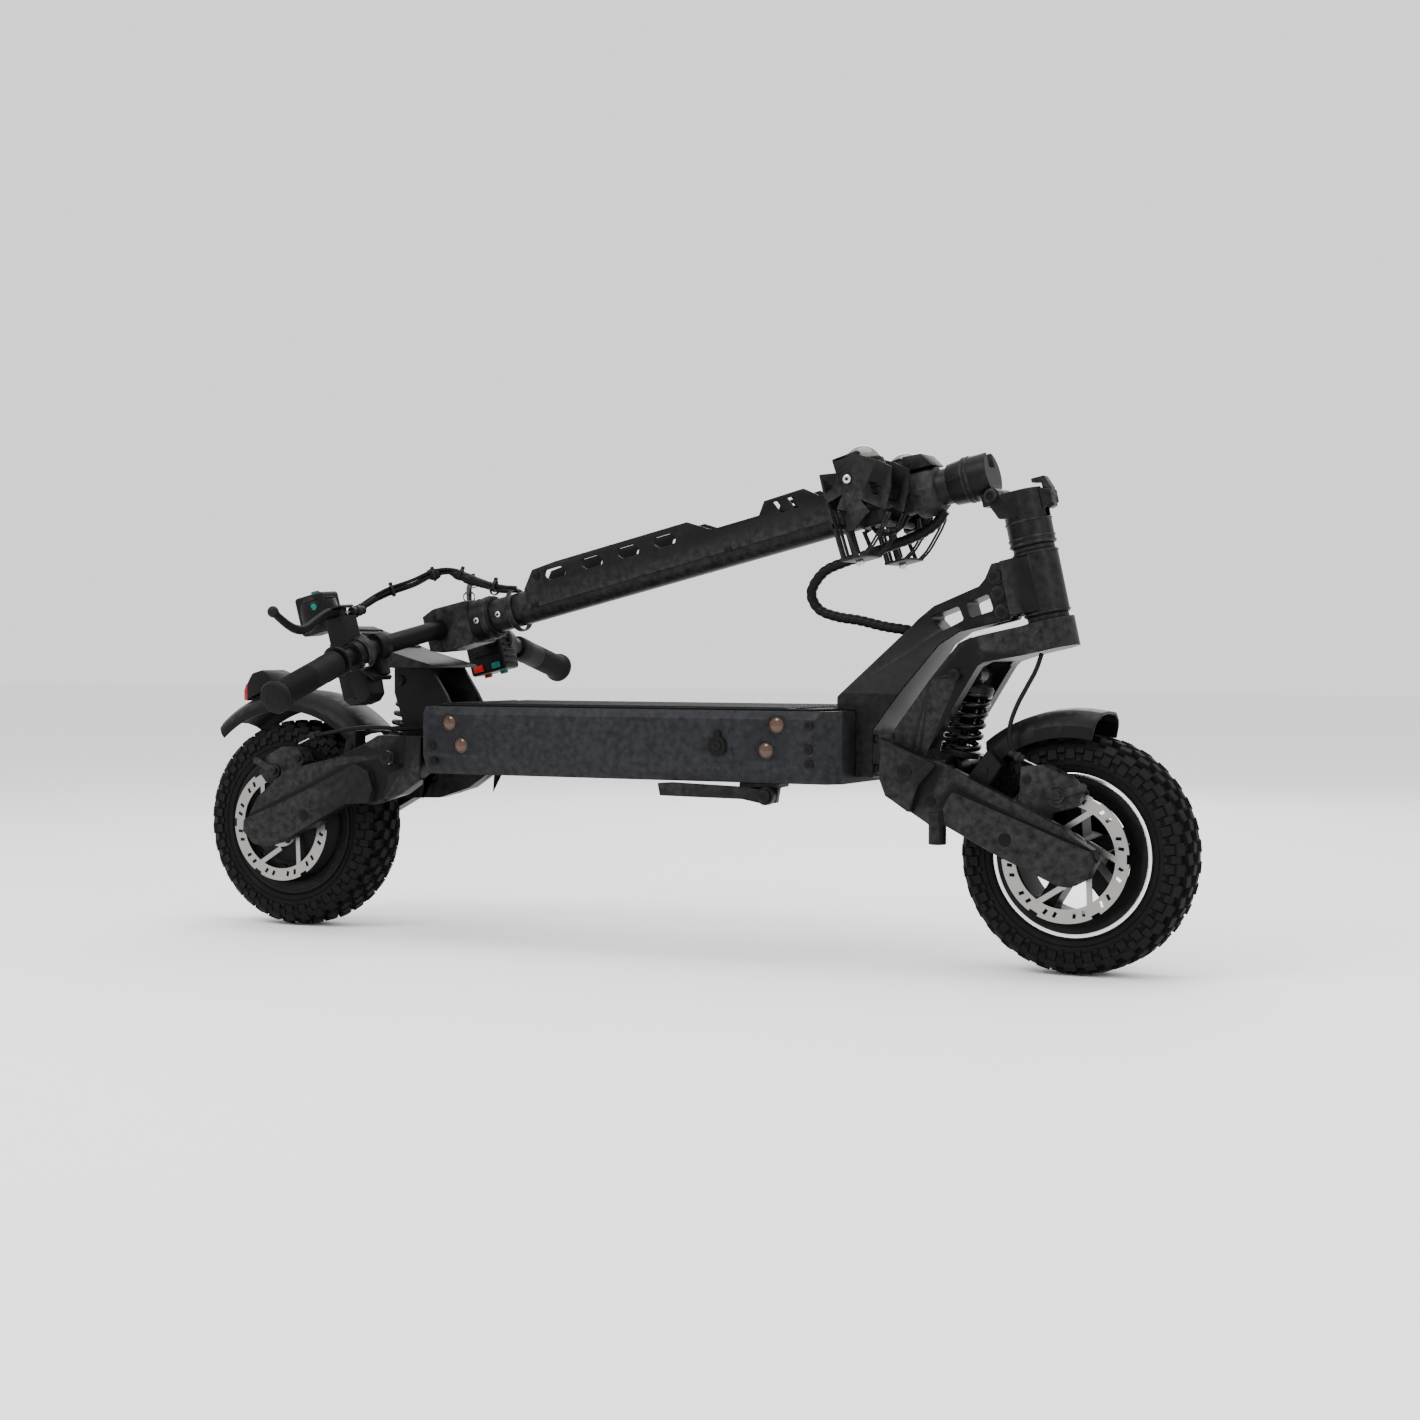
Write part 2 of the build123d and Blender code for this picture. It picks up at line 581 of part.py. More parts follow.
def switch_pods():
    """Brake perches and switch housings, clamped inboard of the grips."""
    solids = []
    for side in (1, -1):
        ring = collar(side, 146, 172, BAR_R + 6)
        body = pod_box(side, (14, 66), (128, 164), (-52, -6))
        if side < 0:
            body = pod_box(side, (54, 94), (134, 170), (20, 66)) + pod_box(side, (36, 60), (136, 150), (4, 30), 2)
        lug = pod_box(side, (28, 54), (146, 176), (-4, 44), 3)
        perch = ring + body + lug - handlebar(BAR_R + RUN)
        for spot in BUTTONS:
            if spot[0] == side:
                perch -= button(*spot, BUTTON_R + SEAT, BUTTON_TRAVEL + SEAT)
        perch -= in_bar(block((BAR_T - 30, BAR_T + 60), sorted((-side * 120, -side * 185)),
                               (LEVER_H - 5 - SEAT, LEVER_H + 5 + SEAT)) &
                         (Pos(BAR_T + LEVER_T, -side * (LEVER_PIVOT_Y + 4), LEVER_H) * Box(40, 32, 30)))
        solids.append(perch)
    return solids


def brake_lever(side):
    """The blade, with its pivot pin square to the bar and a ball at its end."""
    path = [(LEVER_T, 162, LEVER_H), (LEVER_T + 2, 184, LEVER_H), (LEVER_T + 4, 206, LEVER_H - 8),
            (LEVER_T + 5, 226, LEVER_H - 15), (LEVER_T + 6, 250, LEVER_H - 9), (LEVER_T + 7, 272, LEVER_H + 8)]
    blade = None
    for start, end in zip(path, path[1:]):
        run = rod(on_bar(side, *start), on_bar(side, *end), 3.6)
        blade = run if blade is None else blade + run
        blade += Pos(*on_bar(side, *end)) * Sphere(3.6)
    ball = Pos(*on_bar(side, *path[-1])) * Sphere(7)
    pivot = in_bar(rod((BAR_T + LEVER_T - 1, -side * LEVER_PIVOT_Y, LEVER_H - 5),
                        (BAR_T + LEVER_T - 1, -side * LEVER_PIVOT_Y, LEVER_H + 5), 7))
    return blade + ball + pivot


def display_unit():
    """The display's housing with its clamp and the sun visor over it."""
    low, high = DISPLAY_Y
    body = pod_box(-1, (36, 76), DISPLAY_Y, (-70, -30), 5)
    body += pod_box(-1, (22, 46), (low + 2, low + 18), (-44, -6), 3)
    body += collar(-1, low + 2, low + 14, BAR_R + 6)
    body -= handlebar(BAR_R + RUN)
    body -= in_bar(block((BAR_T + 74, BAR_T + 80), (low + 5, high - 5), (-64, -38)))
    visor = slab([(24, -44), (73, 8), (77, 6), (76, 2), (28, -48)], low - 2, high + 2)
    return body + in_bar(Pos(BAR_T, 0, 0) * visor)


def throttle_trigger():
    """The thumb lever under the right grip's inner end, turning round the bar."""
    ring = pipe(bar_end(-1, GRIP_L + 2, 0), bar_end(-1, GRIP_L + 5, 0), BAR_R + 8, BAR_R + RUN)
    return ring + pod_box(-1, (26, 42), THROTTLE_Y, (-68, -36), 3)


DISPLAY_Y = (110.0, 142.0)
THROTTLE_Y = (183.0, 192.0)
BUTTON_R = 5.0
BUTTON_TRAVEL = 1.5
BUTTONS = [(1, 52, 146, -52, -1), (1, 28, 146, -52, -1), (-1, 74, 152, 66, 1)]  # side, t, y, face, way out


def button(side, t, y, face, out, radius=BUTTON_R, depth=0.0):
    """A round push button standing out of a switch pod, or a cutter for its pocket."""
    start, end = (t + BAR_T, -side * y, face - out * depth), (t + BAR_T, -side * y, face + out * 4.0)
    return in_bar(rod(start, end, radius))


# ---------------------------------------------------------------- lamps
LAMP_Y = 60.0
LAMP_AXIS = (121.0, 12.0)
LAMP_PLATE = 26.0       # outer faces of the guard plates, from the lamp's middle
TILT_H = -24.8          # the cross bar that both lamps tilt on, just under the stem


def headlamps():
    """Two lamps on one cross bar under the stem: housing, dome lens and guard plates each."""
    t, h = LAMP_AXIS
    half = LAMP_PLATE
    lamp = Pos(t, LAMP_Y, h + 2) * Cylinder(23, 56) + Pos(t, LAMP_Y, h - 34) * Cylinder(17, 18)
    dome = Pos(t, LAMP_Y, h + 26) * Sphere(22) & Pos(t, LAMP_Y, h + 30 + SEAT + 20) * Box(60, 60, 40)
    plate = [(t + 37, h + 36), (t + 19, h + 40), (t + 4, h + 39), (t - 29, h + 27), (t - 44, h + 19),
             (t - 30, h - 27), (t - 12, h - 44), (t + 20, h - 39), (t + 28, h - 12), (t + 39, h + 27)]
    cage = slab([(t + 42, h - 16), (t + 38, h - 72), (t + 10, h - 72), (t - 16, h - 28), (t - 9, h - 28),
                 (t + 14, h - 67), (t + 32, h - 67), (t + 35, h - 16)], LAMP_Y - half, LAMP_Y + half)
    lamp += slab(plate, LAMP_Y + half - 2.5, LAMP_Y + half) + slab(plate, LAMP_Y - half, LAMP_Y - half + 2.5)
    lamp += cross((t + 11, h + 12), LAMP_Y - half - 2, LAMP_Y + half + 3, 5) + cage
    lamp += Pos(t + 28, LAMP_Y, h - 74) * Cylinder(4, 8)
    pair = both(lamp)
    joined = pair[0] + pair[1] + cross((t, TILT_H), -LAMP_Y, LAMP_Y, 4)
    return [in_stem(shape) for shape in [joined] + both(dome)]


# ---------------------------------------------------------------- cords
LOOP_SPLIT = (276.0, 0.0, 454.5)


def harness_upper():
    points = [(350.9, 0, 495.3), (341, 0, 482), (319, 0, 469), LOOP_SPLIT]
    return cord(points, LOOP_R, "harness_upper")


def harness_lower():
    points = [(LOOP_SPLIT[0] - SEAT, 0, LOOP_SPLIT[2] - SEAT / 3), (258, 0, 448.4), (232, 0, 441),
              (206, 0, 430), (191, 0, 408), (200, 0, 389), (222, 0, 380.5), (250, 0, 376),
              (279, 0, 369.5), (309, 0, 365)]
    return cord(points, LOOP_R, "harness_lower")


def bar_cables():
    """One cable from each switch pod, over the clamp and into the stem's top."""
    near = [bar_point(BAR_T + 62, -134 + SEAT, 34), bar_point(BAR_T + 62, -119, 34.5), (-343, -101, 397),
            (-326, -80, 411),
            (-304, -59, 421), (-285, -43, 432), (-266, -30, 435), (-244, -21, 427), (-218, -13, 419),
            (-192, -6, 416.4)]
    far = [bar_point(BAR_T + 50, 140, -6 + SEAT), bar_point(BAR_T + 50, 139.5, 12), (-336, 118, 390), (-325, 97, 404),
           (-310, 74, 416), (-292, 52, 425), (-272, 34, 426), (-250, 20, 420), (-226, 12, 414),
           (-200, 8, 412.9)]
    return cord(near, BUNDLE_R, "bar_cables near"), cord(far, BUNDLE_R - 0.5, "bar_cables far")


def front_brake_cable():
    points = [(469, -20, 340), (464, -25, 322), (457, -34, 304), (450, -44, 285), (445.5, -52, 265),
              (447, -57, 246), (456, -59, 232)]
    return cord(points, CABLE_R, "front_brake_cable")


def rear_brake_cable():
    points = [(-264.4, -60, 254), (-290, -62, 250), (-318, -66, 248.5), (-350, -68, 250), (-384, -66, 248),
              (-418, -62, 243), (-448, -58.5, 238)]
    return cord(points, CABLE_R, "rear_brake_cable")


# ---------------------------------------------------------------- swingarms
def arm_plates(sheet, cover, knee):
    """One arm: a full plate inside, with the thicker knee and the long cover standing out."""
    plate = slab(sheet, ARM_IN, ARM_FACE, corner=2)
    plate += slab(cover, ARM_FACE - 1, ARM_OUT, corner=3)
    return plate + slab(knee, ARM_FACE - 1, ARM_OUT, corner=3)


def swingarm(arm, axle, pivot, shock_low, bridge, tail):
    body = None
    for side in both(arm + cross(axle, ARM_IN - 6, ARM_IN + 2, 14)):
        body = side if body is None else body + side
    body += cross(bridge, -ARM_IN - 2, ARM_IN + 2, 12) + cross(shock_low, -ARM_IN - 2, ARM_IN + 2, SHOCK_PIN_R)
    body += tail
    body -= cross(axle, -ARM_OUT + 6, ARM_OUT - 6, AXLE_R + RUN)
    return body - cross(pivot, -ARM_OUT + 4, ARM_OUT - 4, PIVOT_R + RUN)


def front_swingarm():
    sheet = [(311, 249), (310, 206), (317, 188), (364, 158), (391, 157), (439, 131), (510, 100), (522, 99),
             (540, 108), (549, 126), (545, 138), (521, 152), (517, 157), (391, 218), (352, 232)]
    cover = [(393, 195), (383, 177), (385, 158.5), (439, 131), (510, 100), (522, 99), (540, 108), (549, 126),
             (545, 136), (531, 142)]
    knee = [(311, 249), (310, 206), (317, 188), (345, 170), (355, 200), (375, 222), (352, 232)]
    stop = [pipe((371, y, 137), (371, y, 172), 9.5, 2) for y in (-71, 71)]
    return swingarm(arm_plates(sheet, cover, knee), FRONT_AXLE, FRONT_PIVOT, FRONT_SHOCK_LOW, (370, 190),
                    stop[0] + stop[1])


def rear_swingarm():
    sheet = [(-275, 241), (-277, 190), (-306, 171), (-349, 158), (-387, 157), (-467, 114), (-506, 102),
             (-523, 106), (-537, 120), (-537, 134), (-529, 149), (-521, 162), (-476, 197), (-400, 214),
             (-363, 230), (-342, 241)]
    cover = [(-372, 206), (-352, 198), (-345, 176), (-352, 160), (-387, 157), (-467, 114), (-506, 102),
             (-523, 106), (-537, 120), (-537, 134), (-446, 172)]
    knee = [(-275, 241), (-277, 190), (-306, 171), (-330, 164), (-322, 196), (-300, 205), (-296, 241)]
    shelf = block((-362, -352), (-3, 3), (192, 206))
    return swingarm(arm_plates(sheet, cover, knee), REAR_AXLE, REAR_PIVOT, REAR_SHOCK_LOW, (-363, 192), shelf)


def axle_and_pivot(axle, pivot):
    axle_bar = cross(axle, -ARM_OUT + 7, ARM_OUT - 7, AXLE_R)
    return axle_bar, cross(pivot, -ARM_OUT + 5, ARM_OUT - 5, PIVOT_R)


# ---------------------------------------------------------------- wheels
def tyre(axle):
    """An open carcass: bead, sidewall, shoulder and tread, as thick as TYRE_WALL."""
    half = [(BEAD_R + 0.2, RIM_HALF - 5), (BEAD_R + 8, RIM_HALF - 4), (FLANGE_R + 2, RIM_HALF - 1),
            (100, TYRE_HALF), (114, TYRE_HALF - 1), (122, TYRE_HALF - 6), (TYRE_R, 16)]
    inner = [(TYRE_R - TYRE_WALL, 14), (114, 24), (100, TYRE_HALF - 7), (FLANGE_R + 2, RIM_HALF - 8),
             (BEAD_R + 0.2, RIM_HALF - 12)]
    outline = half + [(r, -y) for r, y in reversed(half)]
    outline += [(r, -y) for r, y in reversed(inner)] + inner
    return about_axle(axle, outline, 0, 360)


def rim_barrel(axle, web):
    """The rim's ring: bead seats, flanges and a web of the given inner radius."""
    half = [(web, RIM_HALF - 6), (BEAD_R - 3, RIM_HALF), (FLANGE_R, RIM_HALF), (FLANGE_R, RIM_HALF - 2.4),
            (BEAD_R + 0.1, RIM_HALF - 4.6), (BEAD_R + 0.1, 12), (BEAD_R - 8, 8)]
    outline = half + [(r, -y) for r, y in reversed(half)] + [(web, -RIM_HALF + 6)]
    return about_axle(axle, outline[:-1], 0, 360)


SPOKES = 5


def front_rim():
    """Cast rim with open spokes, a hub and its two bearings."""
    body = rim_barrel(FRONT_AXLE, BEAD_R - 14)
    body -= cross(FRONT_AXLE, -RIM_HALF - 1, RIM_HALF + 1, BEAD_R - 14)
    hub = cross(FRONT_AXLE, DISC_Y + DISC_T / 2, 40, HUB_R)
    for number in range(SPOKES):
        angle = 360 / SPOKES * number + 22
        spoke = block((HUB_R - 4, BEAD_R - 10), (-15, 15), (-9, 9))
        hub += Pos(FRONT_AXLE[0], 0, FRONT_AXLE[1]) * Rot(0, -angle, 0) * spoke
    body += hub
    body -= cross(FRONT_AXLE, -60, 60, AXLE_R + 3)
    rings = []
    for low in (DISC_Y + DISC_T / 2, 40 - BEARING_H):
        body -= cross(FRONT_AXLE, low - 0.1, low + BEARING_H, BEARING_R)
        rings.append(cross_pipe(FRONT_AXLE, low, low + BEARING_H - SEAT, BEARING_R - RUN, AXLE_R + RUN))
    return [body] + rings


def rear_hub_motor():
    """Hub motor whose drum is the rim, with covers on both sides."""
    outline = [(AXLE_R + RUN, DISC_Y + DISC_T / 2), (HUB_R, DISC_Y + DISC_T / 2), (HUB_R, -42), (48, -39),
               (60, -28), (BEAD_R - 9, -22), (BEAD_R - 3, -RIM_HALF), (FLANGE_R, -RIM_HALF),
               (FLANGE_R, -RIM_HALF + 2.4), (BEAD_R + 0.1, -RIM_HALF + 4.6), (BEAD_R + 0.1, RIM_HALF - 4.6),
               (FLANGE_R, RIM_HALF - 2.4), (FLANGE_R, RIM_HALF), (BEAD_R - 3, RIM_HALF), (BEAD_R - 9, 22),
               (60, 28), (48, 39), (HUB_R, 42), (HUB_R, 48), (AXLE_R + RUN, 48)]
    return about_axle(REAR_AXLE, outline, 0, 360)


DISC_ARMS = 6
DISC_SLOTS = 36


def brake_disc(axle):
    low, high = DISC_Y - DISC_T / 2, DISC_Y + DISC_T / 2
    ring = cross_pipe(axle, low, high, DISC_R, DISC_R - 15)
    ring += cross_pipe(axle, low, high, HUB_R + 7, HUB_R - 5)
    for number in range(DISC_ARMS):
        angle = 360 / DISC_ARMS * number
        turn = Pos(axle[0], 0, axle[1]) * Rot(0, -angle, 0)
        ring += turn * Pos(43, 0, 6) * Rot(0, 28, 0) * block((-20, 20), (low, high), (-3, 3))
        ring -= turn * Pos(DISC_R + 3, 0, 0) * block((-6, 6), (low - 1, high + 1), (-5, 5))
        ring -= turn * rod((HUB_R + 2, low - 1, 0), (HUB_R + 2, high + 1, 0), 2.6)
    for number in range(DISC_SLOTS):
        if number % 6 in (0, 3):
            continue
        turn = Pos(axle[0], 0, axle[1]) * Rot(0, -360 / DISC_SLOTS * number, 0)
        ring -= turn * Pos(DISC_R - 8, 0, 0) * Rot(0, 20, 0) * block((-3.2, 3.2), (low - 1, high + 1), (-1.8, 1.8))
    return ring


# ---------------------------------------------------------------- shocks
def along(low, top, distance):
    """The XZ point on the shock's line, so far up from its lower eye."""
    length = hypot(top[0] - low[0], top[1] - low[1])
    share = distance / length
    return low[0] + (top[0] - low[0]) * share, low[1] + (top[1] - low[1]) * share


def shock(low, top):
    """Body, rod and spring of one shock, in that order."""
    def at(distance):
        point = along(low, top, distance)
        return point[0], 0, point[1]

    length = hypot(top[0] - low[0], top[1] - low[1])
    seat_low, seat_top = 17.0, length - 17.0
    body = cross(top, -EYE_HALF, EYE_HALF, EYE_R) + rod(at(seat_top), at(seat_top + 5), SPRING_R)
    body += rod(at(seat_top - 40), at(length - 4), 9)
    body -= cross(top, -EYE_HALF - 1, EYE_HALF + 1, SHOCK_PIN_R + RUN)
    body -= rod(at(seat_top - 41), at(length - 15), 5 + RUN)
    lower = cross(low, -EYE_HALF, EYE_HALF, EYE_R) + rod(at(seat_low - 5), at(seat_low), SPRING_R)
    lower += rod(at(6), at(seat_low + 32), 5)
    lower -= cross(low, -EYE_HALF - 1, EYE_HALF + 1, SHOCK_PIN_R + OPEN_PIVOT)
    coil = pipe(at(seat_low + SEAT), at(seat_top - SEAT), SPRING_R, SPRING_R - SPRING_WIRE)
    return body, lower, coil


# ---------------------------------------------------------------- mudguards
def arch(axle, crown, edge, half, thick, start, span):
    """A mudguard shell: a flat-topped arch in section, turned about the axle."""
    outer = [(crown, 0), (crown - 2, half - 18), (crown - 10, half - 5), (crown - 18, half), (edge, half + 1)]
    inner = [(edge, half + 1 - thick), (crown - 17, half - thick), (crown - 8 - thick, half - 6 - thick / 2),
             (crown - 2 - thick, half - 18 - thick / 2), (crown - thick, 0)]
    outline = outer + inner + [(r, -y) for r, y in reversed(inner[:-1])] + [(r, -y) for r, y in reversed(outer[1:])]
    return about_axle(axle, outline, start, span)


FRONT_CROWN = 155.0
REAR_CROWN = 166.0


def front_mudguard():
    shell = arch(FRONT_AXLE, FRONT_CROWN, 124, 43, 3, 78, 52)
    for tab in both(slab([(398, 204), (420, 192), (440, 222), (424, 238)], 42, ARM_IN - SEAT)):
        shell += tab
    return shell


def rear_mudguard():
    shell = arch(REAR_AXLE, REAR_CROWN, 140, 43, 3, 44, 88)
    for tab in both(slab([(-386, 208), (-404, 212), (-400, 232), (-384, 246)], 42, ARM_IN - SEAT)):
        shell += tab
    return shell


def tail_light():
    """Housing and lens, standing on the rear mudguard's crown."""
    outline = [(-581, 268), (-542, 284), (-538, 304), (-553, 317), (-571, 313), (-579, 300)]
    housing = slab(outline, -24, 24, corner=2)
    housing -= cross(REAR_AXLE, -30, 30, REAR_CROWN + SEAT)
    lens = slab([(-581.4, 276), (-579.5, 299), (-583, 299), (-586, 290), (-586, 276)], -21, 21)
    return housing, lens


# ---------------------------------------------------------------- brakes
def caliper(axle, outline, bracket, pivot):
    """Body over the disc, bracket to the arm and two pads."""
    low, high = DISC_Y - DISC_T / 2 - CALIPER_GAP, DISC_Y + DISC_T / 2 + CALIPER_GAP
    body = slab(outline, -ARM_IN + SEAT, CALIPER_IN, corner=2) + slab(bracket, -ARM_IN + SEAT, -56)
    body -= cross(axle, low - 3, high + 3, DISC_R + 1.5)
    pads = []
    for start, end in ((low - 2.6, low + 0.9), (high - 0.9, high + 2.6)):
        pad = cross(pivot, start, end, 11)
        pads.append(pad & cross(axle, start, end, DISC_R + 1))
    body -= cross(pivot, -ARM_IN - 1, -59, 4 + RUN)
    return [body] + pads


CALIPER_IN = -41.5


def caliper_arm(pivot, tip):
    """The lever that the cable pulls, on its pin in the caliper."""
    length = hypot(tip[0] - pivot[0], tip[1] - pivot[1])
    side = ((tip[1] - pivot[1]) / length * 4, -(tip[0] - pivot[0]) / length * 4)
    outline = [(pivot[0] + side[0], pivot[1] + side[1]), (tip[0] + side[0], tip[1] + side[1]),
               (tip[0] - side[0], tip[1] - side[1]), (pivot[0] - side[0], pivot[1] - side[1])]
    low, high = -ARM_IN - 3.2, -ARM_IN
    lever = slab(outline, low, high) + cross(pivot, low, high, 8)
    return lever + cross(tip, low, high, 4) + cross(pivot, low, -59.3, 4)


FRONT_CALIPER = [(462, 222), (486, 224), (512, 212), (530, 196), (524, 182), (506, 176), (490, 172), (468, 186),
                 (460, 202)]
FRONT_BRACKET = [(462, 206), (478, 206), (498, 176), (490, 152), (470, 152), (455, 176)]
FRONT_CAM = (502.0, 192.0)
REAR_CALIPER = [(-530, 192), (-518, 212), (-494, 224), (-470, 222), (-462, 206), (-476, 184), (-494, 172),
                (-520, 180)]
REAR_BRACKET = [(-470, 206), (-482, 206), (-500, 178), (-496, 160), (-462, 160), (-452, 180)]
REAR_CAM = (-504.0, 194.0)


# ---------------------------------------------------------------- footrest, stand
def footrest():
    """Welded rear footrest: two cheeks on the pivot block and the sloping plate on top."""
    block_part = block((DECK_REAR - 28, DECK_REAR - SEAT), (-54, 54), (204, 246))
    lug = cross(REAR_PIVOT, -58, 58, LUG_R - 1.5)
    web = slab([(-338, 226), (-338, 204), (-290, 204), (-290, 232)], -58, 58)
    body = block_part + lug + web
    body -= cross(REAR_PIVOT, -60, 60, PIVOT_R + RUN)
    cheek = [(-346, 324), (-346, 291), (-336, 262), (-330, 228), (-292, 215), (-266, 215), (-266, 279), (-272, 290),
             (-295, 324)]
    for side in both(slab(cheek, 32, 38)):
        body += side
    top = slab([(-422, 372), (-346, 341), (-285, 324.5), (-283, 321), (-346, 321), (-424, 368)], -50, 50)
    plan = [(-280, -50), (-346, -48), (-424, -28), (-424, 28), (-346, 48), (-280, 50)]
    face = make_face(Polyline(*[(x, y, 300) for x, y in plan], close=True))
    body += top & extrude(face, amount=90, dir=(0, 0, 1))
    body -= block((-380, -329), (-SPRING_R - 2, SPRING_R + 2), (200, 262))
    return body + cross(REAR_SHOCK_TOP, -36, 36, SHOCK_PIN_R)


STAND_PIVOT = (178.0, 184.0)
STAND_Y = (-94.0, -84.0)


def kickstand_bracket():
    """Bracket under the deck, with the stand's pivot bolt."""
    plate = block((142, 190), (-84, -56), (DECK_FLOOR - 5, DECK_FLOOR - SEAT))
    ear = slab([(150, DECK_FLOOR - SEAT), (190, DECK_FLOOR - SEAT), (186, 176), (170, 174)], -82, -74)
    bolt = cross(STAND_PIVOT, -96, -74, 4) + cross(STAND_PIVOT, -98, -94.5, 7)
    return plate + ear + bolt


def kickstand_leg():
    leg = slab([(45, 195), (48, 181), (150, 180), (160, 184), (160, 193), (60, 196)], *STAND_Y)
    hub = cross(STAND_PIVOT, *STAND_Y, 10)
    neck = slab([(150, 180), (178, 175), (182, 190), (150, 193)], *STAND_Y)
    return leg + neck + hub - cross(STAND_PIVOT, STAND_Y[0] - 1, STAND_Y[1] + 1, 4 + RUN)


# ---------------------------------------------------------------- the assembly
part("deck_shell", deck_shell())
part("deck_end_caps", *deck_end_caps())
part("deck_mat", deck_mat())
part("battery_and_controllers", battery_pack(), *motor_controllers())
part("marker_lenses", *marker_lenses())
part("frame_bolts", *frame_bolts())
part("charge_port_cap", charge_port_cap())
part("neck_frame", neck_frame())
part("head_tube", head_tube())
part("headset_bearings", *headset_bearings())
part("footrest", footrest())
part("kickstand_bracket", kickstand_bracket())
part("kickstand_leg", kickstand_leg())
part("fork", fork())
part("fold_base", fold_base())
part("fold_pin", fold_pin())
part("fold_latch", fold_latch())
part("fold_head", fold_head())
part("stem_tube", stem_tube())
part("stem_side_plates", stem_side_plates())
part("bar_clamp", *bar_clamp())
part("handlebar", handlebar())
part("grips", *grips())
part("switch_pods", *switch_pods())
part("display_unit", display_unit())
part("throttle_trigger", throttle_trigger())
part("left_brake_lever", brake_lever(1))
part("right_brake_lever", brake_lever(-1))
for name, spot in zip(("red", "green", "power"), BUTTONS):
    part(f"{name}_button", button(*spot))
part("headlamps", *headlamps())
part("harness_upper", harness_upper())
part("harness_lower", harness_lower())
part("bar_cables", *bar_cables())
part("front_brake_cable", front_brake_cable())
part("rear_brake_cable", rear_brake_cable())
part("front_swingarm", front_swingarm())
part("front_axle_and_pivot", *axle_and_pivot(FRONT_AXLE, FRONT_PIVOT))
part("front_mudguard", front_mudguard())
part("front_caliper", *caliper(FRONT_AXLE, FRONT_CALIPER, FRONT_BRACKET, FRONT_CAM))
part("front_caliper_arm", caliper_arm(FRONT_CAM, (530.0, 202.0)))
part("front_tyre", tyre(FRONT_AXLE))
part("front_rim", *front_rim())
part("front_disc", brake_disc(FRONT_AXLE))
part("rear_swingarm", rear_swingarm())
part("rear_axle_and_pivot", *axle_and_pivot(REAR_AXLE, REAR_PIVOT))
part("rear_mudguard", rear_mudguard())
part("tail_light", *tail_light())
part("rear_caliper", *caliper(REAR_AXLE, REAR_CALIPER, REAR_BRACKET, REAR_CAM))
part("rear_caliper_arm", caliper_arm(REAR_CAM, (-532.0, 206.0)))
part("rear_tyre", tyre(REAR_AXLE))
part("rear_hub_motor", rear_hub_motor())
part("rear_disc", brake_disc(REAR_AXLE))
for end, low, top in (("front", FRONT_SHOCK_LOW, FRONT_SHOCK_TOP), ("rear", REAR_SHOCK_LOW, REAR_SHOCK_TOP)):
    body, lower, coil = shock(low, top)
    part(f"{end}_shock_body", body)
    part(f"{end}_shock_rod", lower)
    part(f"{end}_shock_spring", coil)
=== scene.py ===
"""Looks of the folded electric kick scooter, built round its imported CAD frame."""

import json
from math import atan2, cos, pi, radians, sin, sqrt

import bmesh
import bpy
from mathutils import Matrix, Vector

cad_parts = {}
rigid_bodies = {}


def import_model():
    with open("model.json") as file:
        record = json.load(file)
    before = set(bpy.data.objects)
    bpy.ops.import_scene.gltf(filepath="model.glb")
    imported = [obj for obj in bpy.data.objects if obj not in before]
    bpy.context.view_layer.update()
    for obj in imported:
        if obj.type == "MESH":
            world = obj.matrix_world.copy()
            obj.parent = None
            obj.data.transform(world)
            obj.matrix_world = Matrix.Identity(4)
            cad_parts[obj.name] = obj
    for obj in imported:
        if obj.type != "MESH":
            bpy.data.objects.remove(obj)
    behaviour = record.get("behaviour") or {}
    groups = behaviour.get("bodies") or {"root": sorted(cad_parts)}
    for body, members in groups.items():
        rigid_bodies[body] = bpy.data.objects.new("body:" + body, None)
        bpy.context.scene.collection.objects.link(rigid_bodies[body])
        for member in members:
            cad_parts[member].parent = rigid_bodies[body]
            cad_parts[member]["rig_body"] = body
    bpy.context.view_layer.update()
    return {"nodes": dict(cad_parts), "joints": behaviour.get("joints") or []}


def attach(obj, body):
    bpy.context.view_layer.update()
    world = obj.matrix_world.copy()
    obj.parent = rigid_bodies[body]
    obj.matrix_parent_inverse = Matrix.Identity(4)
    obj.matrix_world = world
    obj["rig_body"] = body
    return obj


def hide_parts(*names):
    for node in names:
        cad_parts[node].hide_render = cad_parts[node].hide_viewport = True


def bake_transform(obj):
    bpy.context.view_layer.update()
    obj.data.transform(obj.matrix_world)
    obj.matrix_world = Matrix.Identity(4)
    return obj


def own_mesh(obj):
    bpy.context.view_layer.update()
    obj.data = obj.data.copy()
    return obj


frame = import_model()
NODES = frame["nodes"]
MM = 0.001


# ---------------------------------------------------------------- places, given in millimetres
def world(x, y, z):
    return Vector((x, y, z)) * MM


TILT = radians(12.5)
STEM_T = Vector((-0.97237, 0, -0.233445))
STEM_H = Vector((-0.233445, 0, 0.97237))
STEM_O = Vector((406.559, 0, 534.135))
ACROSS = Vector((0, 1, 0))
BAR_T = 716.0
ROLL = radians(2.6)


def stem(t, y, h):
    """A point beside the stem: t back along it, y to the left, h above its axis."""
    return (STEM_O + STEM_T * t + ACROSS * y + STEM_H * h) * MM


def bar(t, y, h):
    """A point beside the handlebar, t from its middle."""
    return stem(BAR_T + t, y * cos(ROLL) - h * sin(ROLL), h * cos(ROLL) + y * sin(ROLL))


def head(r, y, s):
    """A point beside the steering axis: r forward, s up along it."""
    return world(460 + r * cos(TILT) - s * sin(TILT), y, 420 + r * sin(TILT) + s * cos(TILT))


